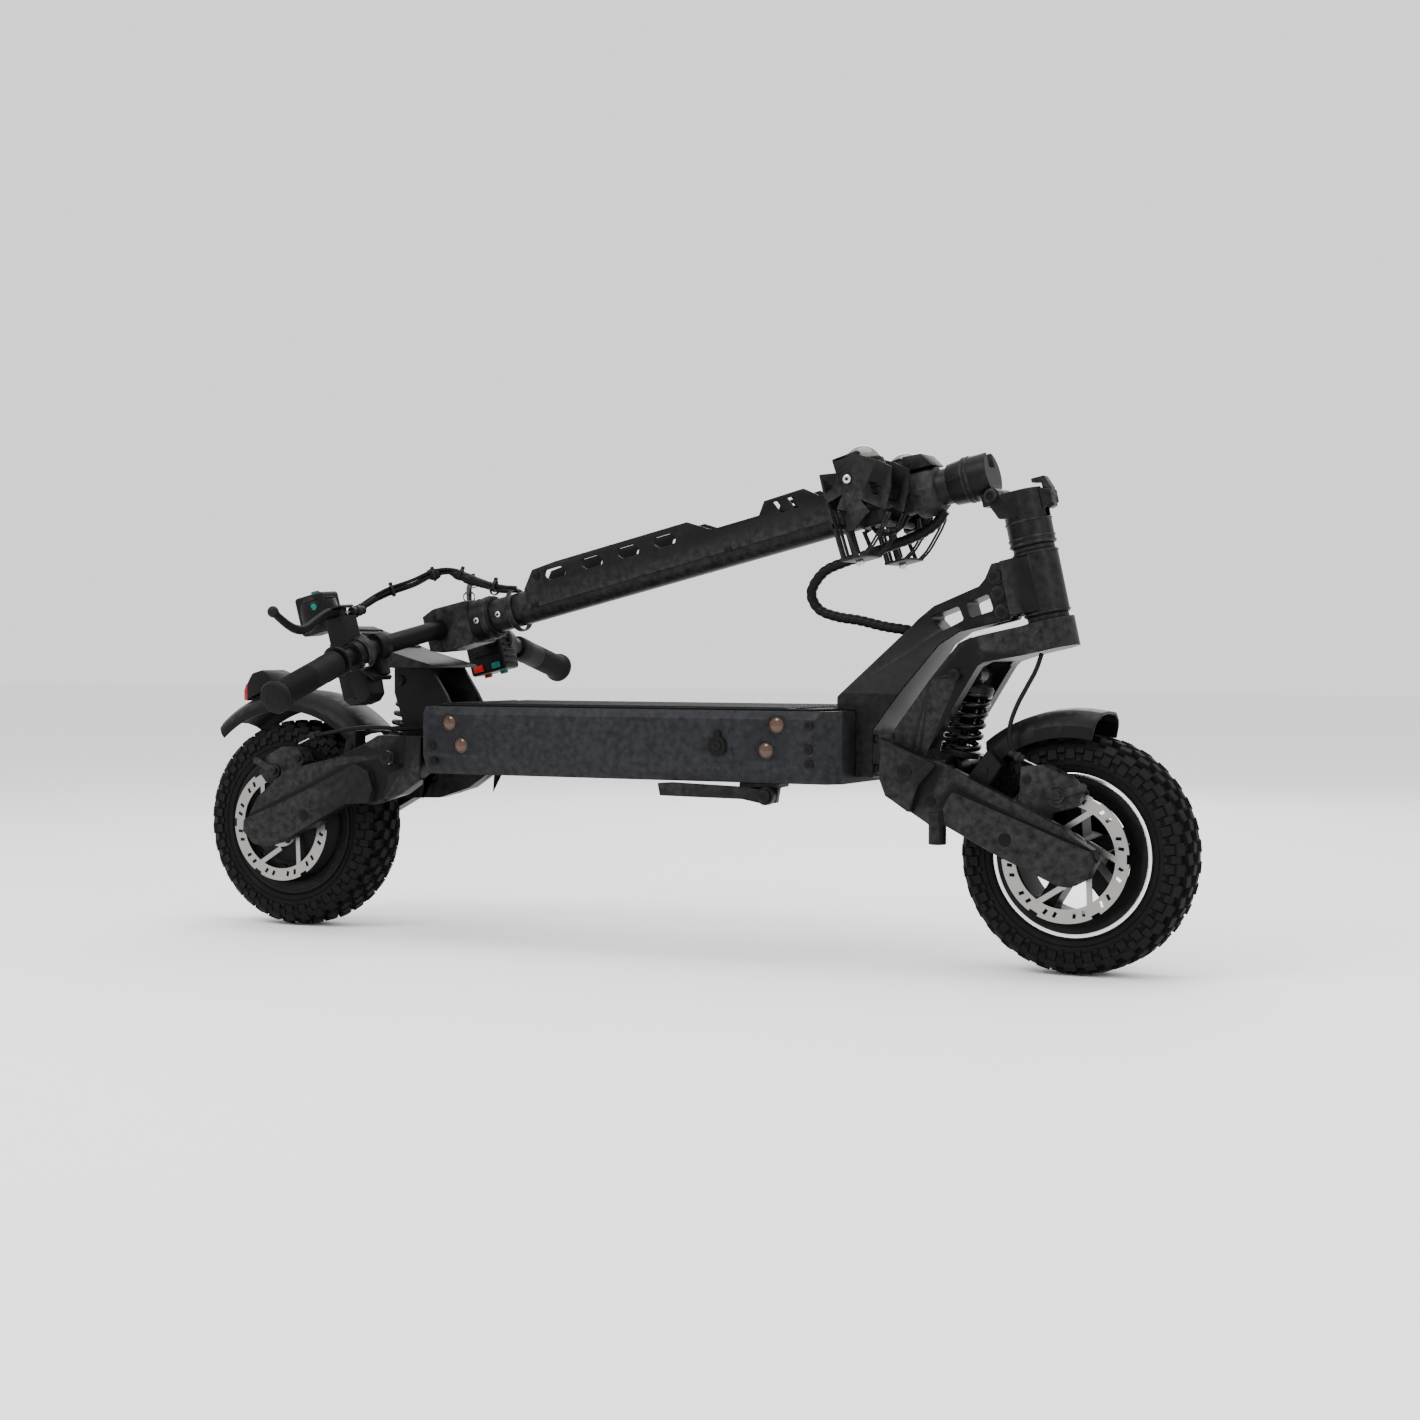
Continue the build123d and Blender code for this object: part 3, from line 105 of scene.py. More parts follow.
def basis(z_axis, origin, near=None):
    """A matrix whose z runs along the given axis and whose x leans towards near."""
    z = Vector(z_axis).normalized()
    x = Vector(near) if near is not None else Vector((0, 0, 1))
    if abs(x.normalized().dot(z)) > 0.98:
        x = Vector((1, 0, 0))
    x = (x - z * x.dot(z)).normalized()
    y = z.cross(x)
    return Matrix.Translation(origin) @ Matrix((x, y, z)).transposed().to_4x4()


# ---------------------------------------------------------------- materials
MIX_A, MIX_B, MIX_RESULT = 6, 7, 2  # colour sockets of a Mix node
DUST = (0.16, 0.155, 0.15)
BARE = (0.35, 0.35, 0.36)
CLOUD_GLOSS = 0.08
GRAIN_HEIGHT = 0.0004


class Value:
    """A socket of a material's node tree; arithmetic on it adds Math nodes."""

    def __init__(self, tree, socket=None):
        self.tree = tree
        self.socket = socket

    def feed(self, node, sockets):
        """Give a node's sockets, by name or place, their values or links."""
        for key, value in sockets.items():
            if isinstance(value, Value):
                self.tree.links.new(value.socket, node.inputs[key])
            else:
                node.inputs[key].default_value = value

    def node(self, kind, settings, sockets, out=0):
        """Any node: its settings are set first, then its sockets."""
        made = self.tree.nodes.new(kind)
        for name, value in settings.items():
            setattr(made, name, value)
        self.feed(made, sockets)
        return Value(self.tree, made.outputs[out])

    def maths(self, operation, first, second):
        return self.node("ShaderNodeMath", {"operation": operation}, {0: first, 1: second})

    def __add__(self, other):
        return self.maths("ADD", self, other)

    def __sub__(self, other):
        return self.maths("SUBTRACT", self, other)

    def __rsub__(self, other):
        return self.maths("SUBTRACT", other, self)

    def __mul__(self, other):
        return self.maths("MULTIPLY", self, other)

    __radd__ = __add__
    __rmul__ = __mul__

    def clamp(self):
        return self.maths("MINIMUM", self.maths("MAXIMUM", self, 0.0), 1.0)

    def mix(self, low, high):
        """A colour between low and high."""
        low, high = (c if isinstance(c, Value) else (*c, 1) for c in (low, high))
        return self.node("ShaderNodeMix", {"data_type": "RGBA"}, {"Factor": self, MIX_A: low, MIX_B: high},
                         MIX_RESULT)

    def noise(self, scale, detail=3.0, rough=0.55):
        """Noise at the places that this socket gives."""
        return self.node("ShaderNodeTexNoise", {}, {"Vector": self, "Scale": scale, "Detail": detail,
                                                    "Roughness": rough}, "Fac")


def finish(name, colour, rough, metal=0.0, spread=0.18, grain=900.0, depth=0.05, dust=0.0, wear=0.0,
           coat=0.0, clear=0.0, glow=None):
    """A procedural surface: mottled colour, cloudy gloss, fine grain, light dust and rubbed edges."""
    material = bpy.data.materials.new(name)
    material.use_nodes = True
    tree = Value(material.node_tree)
    place = tree.node("ShaderNodeTexCoord", {}, {}, "Object")
    cloud = place.noise(22.0)
    shade = cloud.mix([c * (1 - spread) for c in colour], [min(1.0, c * (1 + spread)) for c in colour])
    gloss = cloud * CLOUD_GLOSS + (rough - CLOUD_GLOSS / 2)
    if dust:
        film = ((place.noise(60.0, 6.0) - 0.52) * 5.0).clamp() * dust
        shade = film.mix(shade, DUST)
        gloss = gloss + film * 0.3
    if wear:
        edge = tree.node("ShaderNodeNewGeometry", {}, {}, "Pointiness")
        rubbed = ((edge - 0.53) * 14.0).clamp() * (place.noise(130.0, 5.0) * 1.6 - 0.45).clamp() * wear
        shade = rubbed.mix(shade, BARE)
    bump = tree.node("ShaderNodeBump", {}, {"Strength": depth, "Distance": GRAIN_HEIGHT,
                                            "Height": place.noise(grain, 2.0)})
    sockets = {"Base Color": shade, "Roughness": gloss.clamp(), "Normal": bump, "Metallic": metal,
               "Coat Weight": coat, "Coat Roughness": 0.12}
    if not metal:
        sockets["Specular IOR Level"] = 0.09
    if clear:
        sockets |= {"Transmission Weight": clear, "IOR": 1.46}
    if glow:
        sockets |= {"Emission Color": (*glow[0], 1), "Emission Strength": glow[1]}
    tree.feed(material.node_tree.nodes["Principled BSDF"], sockets)
    return material


PAINT = finish("satin black paint", (0.0037, 0.0037, 0.0040), 0.40, spread=0.05, depth=0.10, dust=0.012, wear=0.08)
SHELL = finish("powder coated shell", (0.0071, 0.0075, 0.0094), 0.46, spread=0.08, depth=0.18, dust=0.012, wear=0.06,
               grain=1300)
STEEL_BLACK = finish("blackened steel", (0.0041, 0.0041, 0.0041), 0.40, spread=0.05, depth=0.08, wear=0.10)
GLOSS = finish("gloss black lacquer", (0.004, 0.004, 0.004), 0.20, depth=0.03, coat=0.25)
PLASTIC = finish("black moulded plastic", (0.0045, 0.0045, 0.0049), 0.42, spread=0.10, depth=0.20, grain=1600)
LATTICE = finish("black anodised plate", (0.0041, 0.0041, 0.0043), 0.46, spread=0.10, depth=0.08, wear=0.10)
SHEATH = finish("cable sheath", (0.0034, 0.0034, 0.0034), 0.38, depth=0.06)
RUBBER = finish("tyre rubber", (0.0053, 0.0053, 0.0055), 0.66, spread=0.10, depth=0.30, grain=700, dust=0.02)
GRIP = finish("grip rubber", (0.0049, 0.0049, 0.0049), 0.62, spread=0.08, depth=0.20)
MAT = finish("deck mat rubber", (0.0049, 0.0049, 0.0053), 0.58, spread=0.08, depth=0.25, dust=0.015)
DISC = finish("brushed disc steel", (0.27, 0.265, 0.25), 0.33, metal=1.0, spread=0.10, depth=0.20)
BRIGHT = finish("bright zinc", (0.55, 0.55, 0.53), 0.28, metal=1.0, spread=0.10, depth=0.08)
TURNED = finish("turned rim edge", (0.80, 0.80, 0.80), 0.24, metal=1.0, spread=0.05, depth=0.04)
WIRE = finish("bare brake wire", (0.45, 0.44, 0.42), 0.33, metal=1.0, depth=0.15)
AMBER = finish("amber lens", (0.075, 0.032, 0.018), 0.16, depth=0.04, clear=0.35, coat=0.5)
CLEAR = finish("clear lens", (0.26, 0.25, 0.23), 0.14, depth=0.03, clear=0.55, coat=0.3)
RED = finish("red lens", (0.30, 0.006, 0.015), 0.22, depth=0.04, clear=0.10, coat=0.3)
RED_KEY = finish("red key plastic", (0.35, 0.010, 0.012), 0.35, depth=0.08)
# green keys: the emission is a painted glow; the keys are no lamp
GREEN_KEY_PAINTED_GLOW = finish("green key plastic with painted glow", (0.006, 0.10, 0.08), 0.35, depth=0.08, glow=((0.0, 0.30, 0.22), 0.12))
GLASS = finish("display glass", (0.005, 0.006, 0.008), 0.10, depth=0.01, coat=0.5)
LINER = finish("lamp reflector", (0.30, 0.31, 0.32), 0.25, metal=0.8, depth=0.04)
TIE = finish("nylon tie", (0.0075, 0.0075, 0.0075), 0.34, depth=0.08)
SEALED = finish("battery wrap", (0.02, 0.05, 0.12), 0.35, depth=0.05)
FLOOR = finish("studio floor", (0.93, 0.93, 0.93), 0.75, spread=0.01, depth=0.02)


# ---------------------------------------------------------------- modelling helpers
def stand(name, bm, materials, body, replaces, angle):
    """Put a finished mesh in the scene; body is None where the piece is tied to no body here."""
    mesh = bpy.data.meshes.new(name)
    bm.to_mesh(mesh)
    bm.free()
    for material in materials:
        mesh.materials.append(material)
    mesh.shade_smooth()
    mesh.set_sharp_from_angle(angle=radians(angle))
    piece = bpy.data.objects.new(name, mesh)
    bpy.context.scene.collection.objects.link(piece)
    if body:
        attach(piece, body)
    if replaces:
        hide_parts(*replaces)
    return piece


class Shape:
    """One piece of the object, gathered from extruded, turned and swept parts."""

    def __init__(self, name):
        self.name = name
        self.bm = bmesh.new()
        self.materials = []
        self.index = 0

    def use(self, material):
        """Faces made from here on take this material."""
        if material not in self.materials:
            self.materials.append(material)
        self.index = self.materials.index(material)
        return self

    def _mark(self, faces):
        for face in faces:
            face.material_index = self.index

    def _soften(self, verts, width, angle=35):
        """Break the edges of the newest part."""
        if not width:
            return
        bmesh.ops.recalc_face_normals(self.bm, faces=list({f for v in verts for f in v.link_faces}))
        edges = {e for v in verts for e in v.link_edges
                 if len(e.link_faces) == 2 and e.calc_face_angle(0) > radians(angle)}
        bmesh.ops.bevel(self.bm, geom=list(edges), offset=width * MM, offset_type="OFFSET", affect="EDGES",
                        segments=2, profile=0.5, material=-1, clamp_overlap=True)

    def _close(self, verts, soft):
        """Give the newest part its material and break its edges."""
        self._mark({f for v in verts for f in v.link_faces})
        self._soften(verts, soft)
        return self

    def extrude(self, faces, depth, soft):
        """Thicken flat faces along a depth vector."""
        made = bmesh.ops.extrude_face_region(self.bm, geom=faces, use_keep_orig=True)
        far = [g for g in made["geom"] if isinstance(g, bmesh.types.BMVert)]
        bmesh.ops.translate(self.bm, verts=far, vec=depth)
        return self._close(list(set(far) | {v for f in faces for v in f.verts}), soft)

    def plate(self, points, depth, soft=0.6, corner=0.0):
        """Extrude an outline of world points along a depth vector."""
        before = set(self.bm.faces)
        verts = [self.bm.verts.new(p) for p in points]
        face = self.bm.faces.new(verts)
        if corner:
            bmesh.ops.bevel(self.bm, geom=verts, offset=corner * MM, offset_type="OFFSET",
                            affect="VERTICES", segments=4, profile=0.5, material=-1)
            face = max((f for f in self.bm.faces if f not in before), key=lambda f: f.calc_area())
        return self.extrude([face], depth, soft)

    def slab(self, place, y, outline, depth, soft=0.6):
        """A plate that stands across the object: an outline at one y, depth mm thick along y."""
        return self.plate([place(a, y, b) for a, b in outline], ACROSS * depth * MM, soft)

    def box(self, centre, size, matrix=None, soft=0.6, taper=1.0):
        """A block of the given size in mm; taper narrows its +z end."""
        place = (matrix or Matrix.Identity(4)) @ Matrix.Translation(Vector(centre) * MM)
        place = place @ Matrix.Diagonal((size[0] * MM, size[1] * MM, size[2] * MM, 1))
        made = bmesh.ops.create_cube(self.bm, size=1.0)
        if taper != 1.0:
            for vert in made["verts"]:
                if vert.co.z > 0:
                    vert.co.x *= taper
                    vert.co.y *= taper
        bmesh.ops.transform(self.bm, matrix=place, verts=made["verts"])
        return self._close(made["verts"], soft)

    def rod(self, start, end, radius, end_radius=None, sides=24, soft=0.0):
        """A round or tapered bar between two world points, or a prism when sides are few."""
        run = end - start
        made = bmesh.ops.create_cone(self.bm, cap_ends=True, cap_tris=False, segments=sides, radius1=radius * MM,
                                     radius2=(radius if end_radius is None else end_radius) * MM, depth=run.length,
                                     matrix=basis(run, (start + end) / 2))
        return self._close(made["verts"], soft)

    def ball(self, centre, radius, segments=20, scale=(1, 1, 1)):
        matrix = Matrix.Translation(centre) @ Matrix.Diagonal((*scale, 1))
        made = bmesh.ops.create_uvsphere(self.bm, u_segments=segments, v_segments=segments // 2,
                                         radius=radius * MM, matrix=matrix)
        return self._close(made["verts"], 0.0)

    def turn(self, profile, axis, origin, steps=48, near=None, closed=True):
        """Turn a (radius, along) profile in mm once round an axis through a world point."""
        place = basis(axis, origin, near)
        verts = [self.bm.verts.new(place @ Vector((r * MM, 0, a * MM))) for r, a in profile]
        line = verts + verts[:1] if closed else verts
        edges = [self.bm.edges.new(pair) for pair in zip(line, line[1:])]
        before = set(self.bm.faces)
        bmesh.ops.spin(self.bm, geom=verts + edges, cent=origin, axis=Vector(axis).normalized(), angle=2 * pi,
                       steps=steps, use_merge=True, use_duplicate=False)
        fresh = [f for f in self.bm.faces if f not in before]
        self._mark(fresh)
        bmesh.ops.remove_doubles(self.bm, verts=list({v for f in fresh for v in f.verts}), dist=1e-6)
        return self

    def sweep(self, path, radius, sides=10, shape=None):
        """Draw a round section along world points; shape(s, angle) in mm scales it on the way."""
        frames = []
        side = None
        travelled = 0.0
        for number, point in enumerate(path):
            before, after = path[max(0, number - 1)], path[min(len(path) - 1, number + 1)]
            along = (after - before).normalized()
            if side is None:
                side = Vector((0, 0, 1)) if abs(along.z) < 0.9 else Vector((0, 1, 0))
            side = (side - along * side.dot(along)).normalized()
            if number:
                travelled += (point - path[number - 1]).length / MM
            frames.append((Matrix.Translation(point) @ Matrix((side, along.cross(side), along)).transposed().to_4x4(),
                           travelled))
        made = bmesh.ops.create_circle(self.bm, cap_ends=False, segments=sides, radius=1.0)
        ring = made["verts"]
        angles = [atan2(v.co.y, v.co.x) for v in ring]
        edges = list({e for v in ring for e in v.link_edges})
        first = edges
        circle = [v.co.copy() for v in ring]
        faces = []
        for number, (matrix, travelled) in enumerate(frames):
            if number:
                made = bmesh.ops.extrude_edge_only(self.bm, edges=edges)["geom"]
                fresh = {g for g in made if isinstance(g, bmesh.types.BMVert)}
                faces += [g for g in made if isinstance(g, bmesh.types.BMFace)]
                ring = [next(v for e in old.link_edges if (v := e.other_vert(old)) in fresh) for old in ring]
                edges = [g for g in made if isinstance(g, bmesh.types.BMEdge) and set(g.verts) <= fresh]
            for vert, angle, spot in zip(ring, angles, circle):
                size = radius * (shape(travelled, angle) if shape else 1.0)
                vert.co = matrix @ (spot * size * MM)
        faces += bmesh.ops.edgeloop_fill(self.bm, edges=first)["faces"]
        faces += bmesh.ops.edgeloop_fill(self.bm, edges=edges)["faces"]
        self._mark(faces)
        return self

    def done(self, body, slot, replaces=(), angle=32.0):
        """Close the piece, put it in the scene and tie it to its body."""
        bmesh.ops.recalc_face_normals(self.bm, faces=self.bm.faces[:])
        return stand(self.name, self.bm, self.materials, body, replaces, angle)


def smooth_path(points, step=3.0):
    """Even points, every few mm, on a smooth line through the given ones."""
    points = [Vector(p) for p in points]
    ends = [points[0] * 2 - points[1]] + points + [points[-1] * 2 - points[-2]]
    fine = []
    for a, b, c, d in zip(ends, ends[1:], ends[2:], ends[3:]):
        count = max(2, int((c - b).length / (step * MM)))
        for number in range(count):
            u = number / count
            fine.append(((b * 2) + (c - a) * u + (a * 2 - b * 5 + c * 4 - d) * u * u
                         + (b * 3 - a - c * 3 + d) * u ** 3) / 2)
    return fine + [points[-1]]


def dress(node, material, width=0.7, angle=30.0):
    """Stand a copy of a CAD node, with its edges broken, in the node's place."""
    source = NODES[node]
    bm = bmesh.new()
    bm.from_mesh(source.data)
    bmesh.ops.remove_doubles(bm, verts=bm.verts[:], dist=2e-6)
    bmesh.ops.dissolve_degenerate(bm, edges=bm.edges[:], dist=1e-6)
    bmesh.ops.dissolve_limit(bm, angle_limit=radians(0.6), verts=bm.verts[:], edges=bm.edges[:],
                             use_dissolve_boundaries=False)
    bmesh.ops.recalc_face_normals(bm, faces=bm.faces[:])
    if width:
        edges = [e for e in bm.edges if len(e.link_faces) == 2 and e.is_manifold
                 and e.calc_face_angle(0) > radians(32) and e.calc_length() > 0.0004]
        bmesh.ops.bevel(bm, geom=edges, offset=width * MM, offset_type="OFFSET", affect="EDGES", segments=1,
                        profile=0.5, material=-1, clamp_overlap=node in CLAMPED)
    for face in bm.faces:
        face.material_index = 0
    stand(node + "_dressed", bm, [material], source["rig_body"], [node], angle)


# ---------------------------------------------------------------- finishes of the CAD nodes
FINISHES = [
    (PAINT, "frame_paint", ["neck_frame", "head_tube", "footrest", "fork", "fold_base", "fold_head", "stem_tube",
                            "front_swingarm", "rear_swingarm", "rear_hub_motor", "front_rim", "kickstand_leg"]),
    (SHELL, "frame_paint", ["deck_shell", "deck_end_caps"]),
    (LATTICE, "black_steel", ["stem_side_plates", "bar_clamp", "headlamps"]),
    (STEEL_BLACK, "black_steel", ["frame_bolts", "headset_bearings", "kickstand_bracket", "fold_pin", "fold_latch",
                                  "front_caliper", "rear_caliper", "left_brake_lever", "right_brake_lever",
                                  "handlebar", "front_shock_body", "rear_shock_body", "front_shock_rod",
                                  "rear_shock_rod", "front_shock_spring", "rear_shock_spring", "front_caliper_arm",
                                  "rear_caliper_arm"]),
    (BRIGHT, "bright_steel", ["front_axle_and_pivot", "rear_axle_and_pivot"]),
    (DISC, "bright_steel", ["front_disc", "rear_disc"]),
    (PLASTIC, "black_plastic", ["front_mudguard", "rear_mudguard", "tail_light", "switch_pods", "display_unit",
                                "throttle_trigger", "charge_port_cap", "harness_upper", "harness_lower",
                                "bar_cables", "front_brake_cable", "rear_brake_cable"]),
    (GRIP, "grip_rubber", ["grips"]),
    (MAT, "tyre_rubber", ["deck_mat"]),
    (RUBBER, "tyre_rubber", ["front_tyre", "rear_tyre"]),
    (AMBER, "amber_lens", ["marker_lenses"]),
    (RED_KEY, "red_plastic", ["red_button"]),
    (GREEN_KEY_PAINTED_GLOW, "green_plastic", ["green_button", "power_button"]),
    (SEALED, "black_plastic", ["battery_and_controllers"]),
]
DRESSED = {"neck_frame", "head_tube", "footrest", "fork", "fold_base", "fold_head", "stem_tube", "front_swingarm",
           "rear_swingarm", "front_rim", "kickstand_leg", "stem_side_plates",
           "bar_clamp", "kickstand_bracket", "fold_latch", "front_caliper", "rear_caliper", "handlebar",
           "front_shock_body", "rear_shock_body", "front_mudguard", "rear_mudguard", "throttle_trigger",
           "rear_hub_motor", "headset_bearings"}
CLAMPED = {"fork"}
THIN = {"stem_side_plates": 0.4, "front_rim": 0.5, "rear_hub_motor": 0.4, "stem_tube": 0.0, "handlebar": 0.0,
        "fold_latch": 0.4}


def paint_nodes():
    """Give each CAD node its material, and stand a dressed copy where one is wanted."""
    for material, slot, names in FINISHES:
        for name in names:
            if name in DRESSED:
                dress(name, material, THIN.get(name, 0.9))
            mesh = NODES[name].data
            mesh.materials.clear()
            mesh.materials.append(material)


# ---------------------------------------------------------------- wheels
FRONT_AXLE = (505.9, 127.5)
REAR_AXLE = (-505.9, 127.5)
PITCHES = 34


def tread_block(shape, axle, angle, y, radius, lean, size, twist=0.0, taper=0.8):
    """One tread block whose base stands on the carcass."""
    out = Vector((cos(angle), 0, sin(angle)))
    along = Vector((-sin(angle), 0, cos(angle)))
    sign = 1 if y >= 0 else -1
    normal = out * cos(lean) + ACROSS * sin(lean) * sign
    wide = ACROSS * cos(lean) - out * sin(lean) * sign
    matrix = Matrix((along, wide, normal)).transposed().to_4x4()
    place = Matrix.Translation(world(axle[0], y, axle[1]) + out * radius * MM) @ matrix
    place = place @ Matrix.Rotation(twist, 4, "Z")
    shape.box((0, 0, 0), size, place, soft=0.0, taper=taper)


def tyre(name, body, axle):
    """A carcass with two side ridges and staggered rows of tread blocks."""
    shape = Shape(name).use(RUBBER)
    half = [(77.4, 25), (85, 27.5), (88, 29.5), (95, 32.6), (102, 33.6), (110, 32.6), (116, 28.5), (119.6, 20),
            (120.8, 10), (121, 0)]
    inner = [(113, 0), (108, 20), (100, 28), (88, 23), (77.4, 19)]
    profile = half + [(r, -y) for r, y in reversed(half[:-1])] + [(r, -y) for r, y in reversed(inner)] + inner[1:]
    shape.turn(profile, (0, 1, 0), world(axle[0], 0, axle[1]), steps=80, near=(1, 0, 0))
    for ring in (89.6, 96.0):
        for side in (1, -1):
            y = side * (30.6 if ring < 92 else 33.2)
            shape.turn([(ring - 0.9, y - side * 0.8), (ring, y + side * 0.9), (ring + 0.9, y - side * 0.8)],
                       (0, 1, 0), world(axle[0], 0, axle[1]), steps=80, near=(1, 0, 0))
    for number in range(PITCHES):
        angle = 2 * pi * number / PITCHES
        half_step = pi / PITCHES
        tread_block(shape, axle, angle, 6.6, 123.2, 0.05, (13.5, 11.5, 8.0), 0.30)
        tread_block(shape, axle, angle + half_step, -6.6, 123.2, 0.05, (13.5, 11.5, 8.0), 0.30)
        for side, turn in ((1, angle + half_step), (-1, angle)):
            tread_block(shape, axle, turn, side * 19.5, 121.8, 0.26, (15.0, 10.5, 8.6), side * 0.22)
            shift = turn + half_step
            tread_block(shape, axle, shift, side * 29.6, 116.2, 0.78, (15.5, 11.0, 8.4), 0.0)
            tread_block(shape, axle, shift, side * 33.2, 107.4, 1.36, (11.0, 12.0, 4.6), 0.0, 0.86)
            tread_block(shape, axle, shift + half_step, side * 31.6, 112.8, 1.05, (9.5, 11.5, 5.6), 0.0, 0.86)
            tread_block(shape, axle, shift + half_step, side * 33.6, 102.6, 1.5, (6.0, 5.0, 3.2), 0.0, 0.86)
    shape.done(body, "tyre_rubber", [name[:-6]], angle=28)


def wheel_details():
    """Turned rim edge, hub ends and disc bolts."""
    for axle, body, outer in ((FRONT_AXLE, "front_wheel", TURNED), (REAR_AXLE, "rear_wheel", STEEL_BLACK)):
        centre = world(axle[0], 0, axle[1])
        shape = Shape(body + "_trim").use(outer)
        for side in (1, -1):
            low, high = side * 29.4, side * 30.9
            shape.turn([(83.2, low), (86.6, low), (87.4, side * 30.4), (86.6, high), (83.9, high),
                        (83.2, side * 30.6)],
                       (0, 1, 0), centre, steps=96, near=(1, 0, 0))
        shape.use(STEEL_BLACK)
        for number in range(6):
            angle = 2 * pi * number / 6
            spot = centre + Vector((cos(angle), 0, -sin(angle))) * 23 * MM
            shape.rod(spot + ACROSS * -52.0 * MM, spot + ACROSS * -54.2 * MM, 3.6, soft=0.5, sides=18)
            shape.rod(spot + ACROSS * -54.1 * MM, spot + ACROSS * -54.5 * MM, 1.7, sides=6)
        shape.turn([(7, -52), (15, -52), (15.6, -53.4), (12, -55), (7, -55)], (0, 1, 0), centre, steps=36,
                   near=(1, 0, 0))
        shape.done(body, "bright_steel" if outer is TURNED else "black_steel")
    centre = world(REAR_AXLE[0], 0, REAR_AXLE[1])
    shape = Shape("motor_cover_screws").use(STEEL_BLACK)
    for side in (1, -1):
        for number in range(10):
            angle = 2 * pi * (number + 0.3) / 10
            spot = centre + Vector((cos(angle) * 53.5, side * 33.0, sin(angle) * 53.5)) * MM
            out = Vector((cos(angle) * 0.62, side * 0.78, sin(angle) * 0.62))
            shape.rod(spot, spot + out * 3.2 * MM, 2.8, sides=14, soft=0.4)
        shape.turn([(24, side * 41.4), (26, side * 41.4), (26, side * 42.4), (24, side * 42.4)], (0, 1, 0), centre,
                   steps=48, near=(1, 0, 0))
    shape.done("rear_wheel", "black_steel")
    shape = Shape("front_hub_cap").use(STEEL_BLACK)
    centre = world(FRONT_AXLE[0], 0, FRONT_AXLE[1])
    shape.turn([(7, 40.2), (16, 40.2), (15, 43), (7, 43.4)], (0, 1, 0), centre, steps=36, near=(1, 0, 0))
    shape.rod(world(FRONT_AXLE[0] + 84, -6, FRONT_AXLE[1]), world(FRONT_AXLE[0] + 62, -6, FRONT_AXLE[1]), 2.6,
              sides=12)
    shape.done("front_wheel", "black_steel")


# ---------------------------------------------------------------- springs
SHOCKS = (("front", (366, 218), (388, 317.5)), ("rear", (-357, 222), (-337, 306)))
COIL_R, COIL_WIRE_R, COIL_PITCH, COIL_SEAT = 18.6, 3.3, 12.4, 20.6
STEPS_A_TURN = 24


def spring(end, low, top):
    """A coil with one flat half turn at each end, tied to the upper half of its shock."""
    low, top = world(low[0], 0, low[1]), world(top[0], 0, top[1])
    up = (top - low).normalized()
    length = (top - low).length / MM
    start, stop = COIL_SEAT, length - COIL_SEAT
    matrix = basis(up, low, (0, 1, 0))
    turns = round((stop - start) / COIL_PITCH)
    path = []
    steps = (turns + 1) * STEPS_A_TURN
    for number in range(steps + 1):
        share = number / steps
        angle = share * (turns + 1) * 2 * pi
        rise = min(1.0, max(0.0, (share * (turns + 1) - 0.5) / turns))
        path.append(matrix @ (Vector((COIL_R * cos(angle), COIL_R * sin(angle), start + (stop - start) * rise)) * MM))
    shape = Shape(end + "_coil").use(GLOSS)
    shape.sweep(path, COIL_WIRE_R, sides=12)
    piece = shape.done(None, "black_steel", [end + "_shock_spring"], angle=60)
    stroke = [j for j in frame["joints"] if j["name"] == end + "_shock_stroke"][0]
    reach = max(abs(limit) for limit in stroke["range_m"])
    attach(piece, end + "_shock_upper")
    max(0.4, 1 - reach / ((length - 34) * MM))
    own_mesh(piece)


# ---------------------------------------------------------------- cords
WRAP_PITCH = 8.6
WELD_PITCH = 2.6


def beaded(travelled, angle):
    """Spiral wrap: a raised turn every pitch, running round the cord."""
    turn = (travelled / WRAP_PITCH + angle / (2 * pi)) % 1.0
    return 0.80 + 0.20 * sqrt(max(0.0, 1 - (2 * turn - 1) ** 2))


def cords():
    """The wrapped harness and both brake hoses, baked in place and tied to no body."""
    upper = [world(350.9, 0, 495.3), world(341, 0, 482), world(319, 0, 469), world(276, 0, 454.5)]
    lower = [world(275.7, 0, 454.4), world(258, 0, 448.4), world(232, 0, 441), world(206, 0, 430), world(191, 0, 408),
             world(200, 0, 389), world(222, 0, 380.5), world(250, 0, 376), world(279, 0, 369.5), world(309, 0, 365)]
    shape = Shape("harness_upper_wrap").use(PLASTIC)
    shape.sweep(smooth_path(upper, 1.4), 6.0, sides=20, shape=beaded)
    piece = shape.done(None, "black_plastic", ["harness_upper"], angle=70)
    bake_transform(piece)
    shape = Shape("harness_lower_wrap").use(PLASTIC)
    shape.sweep(smooth_path(lower, 1.4), 6.0, sides=20, shape=beaded)
    piece = shape.done(None, "black_plastic", ["harness_lower"], angle=70)
    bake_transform(piece)
    front = [world(469, -20, 340), world(464, -25, 322), world(457, -34, 304), world(450, -44, 285),
             world(445.5, -52, 265), world(447, -57, 246), world(456, -59, 232)]
    shape = Shape("front_brake_hose").use(SHEATH)
    shape.sweep(smooth_path(front, 2.5), 2.5, sides=12)
    piece = shape.done(None, "black_plastic", ["front_brake_cable"], angle=70)
    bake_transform(piece)
    rear = [world(-264.4, -60, 254), world(-290, -62, 250), world(-318, -66, 248.5), world(-350, -68, 250),
            world(-384, -66, 248), world(-418, -62, 243), world(-448, -58.5, 238)]
    shape = Shape("rear_brake_hose").use(SHEATH)
    shape.sweep(smooth_path(rear, 2.5), 2.5, sides=12)
    piece = shape.done(None, "black_plastic", ["rear_brake_cable"], angle=70)
    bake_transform(piece)


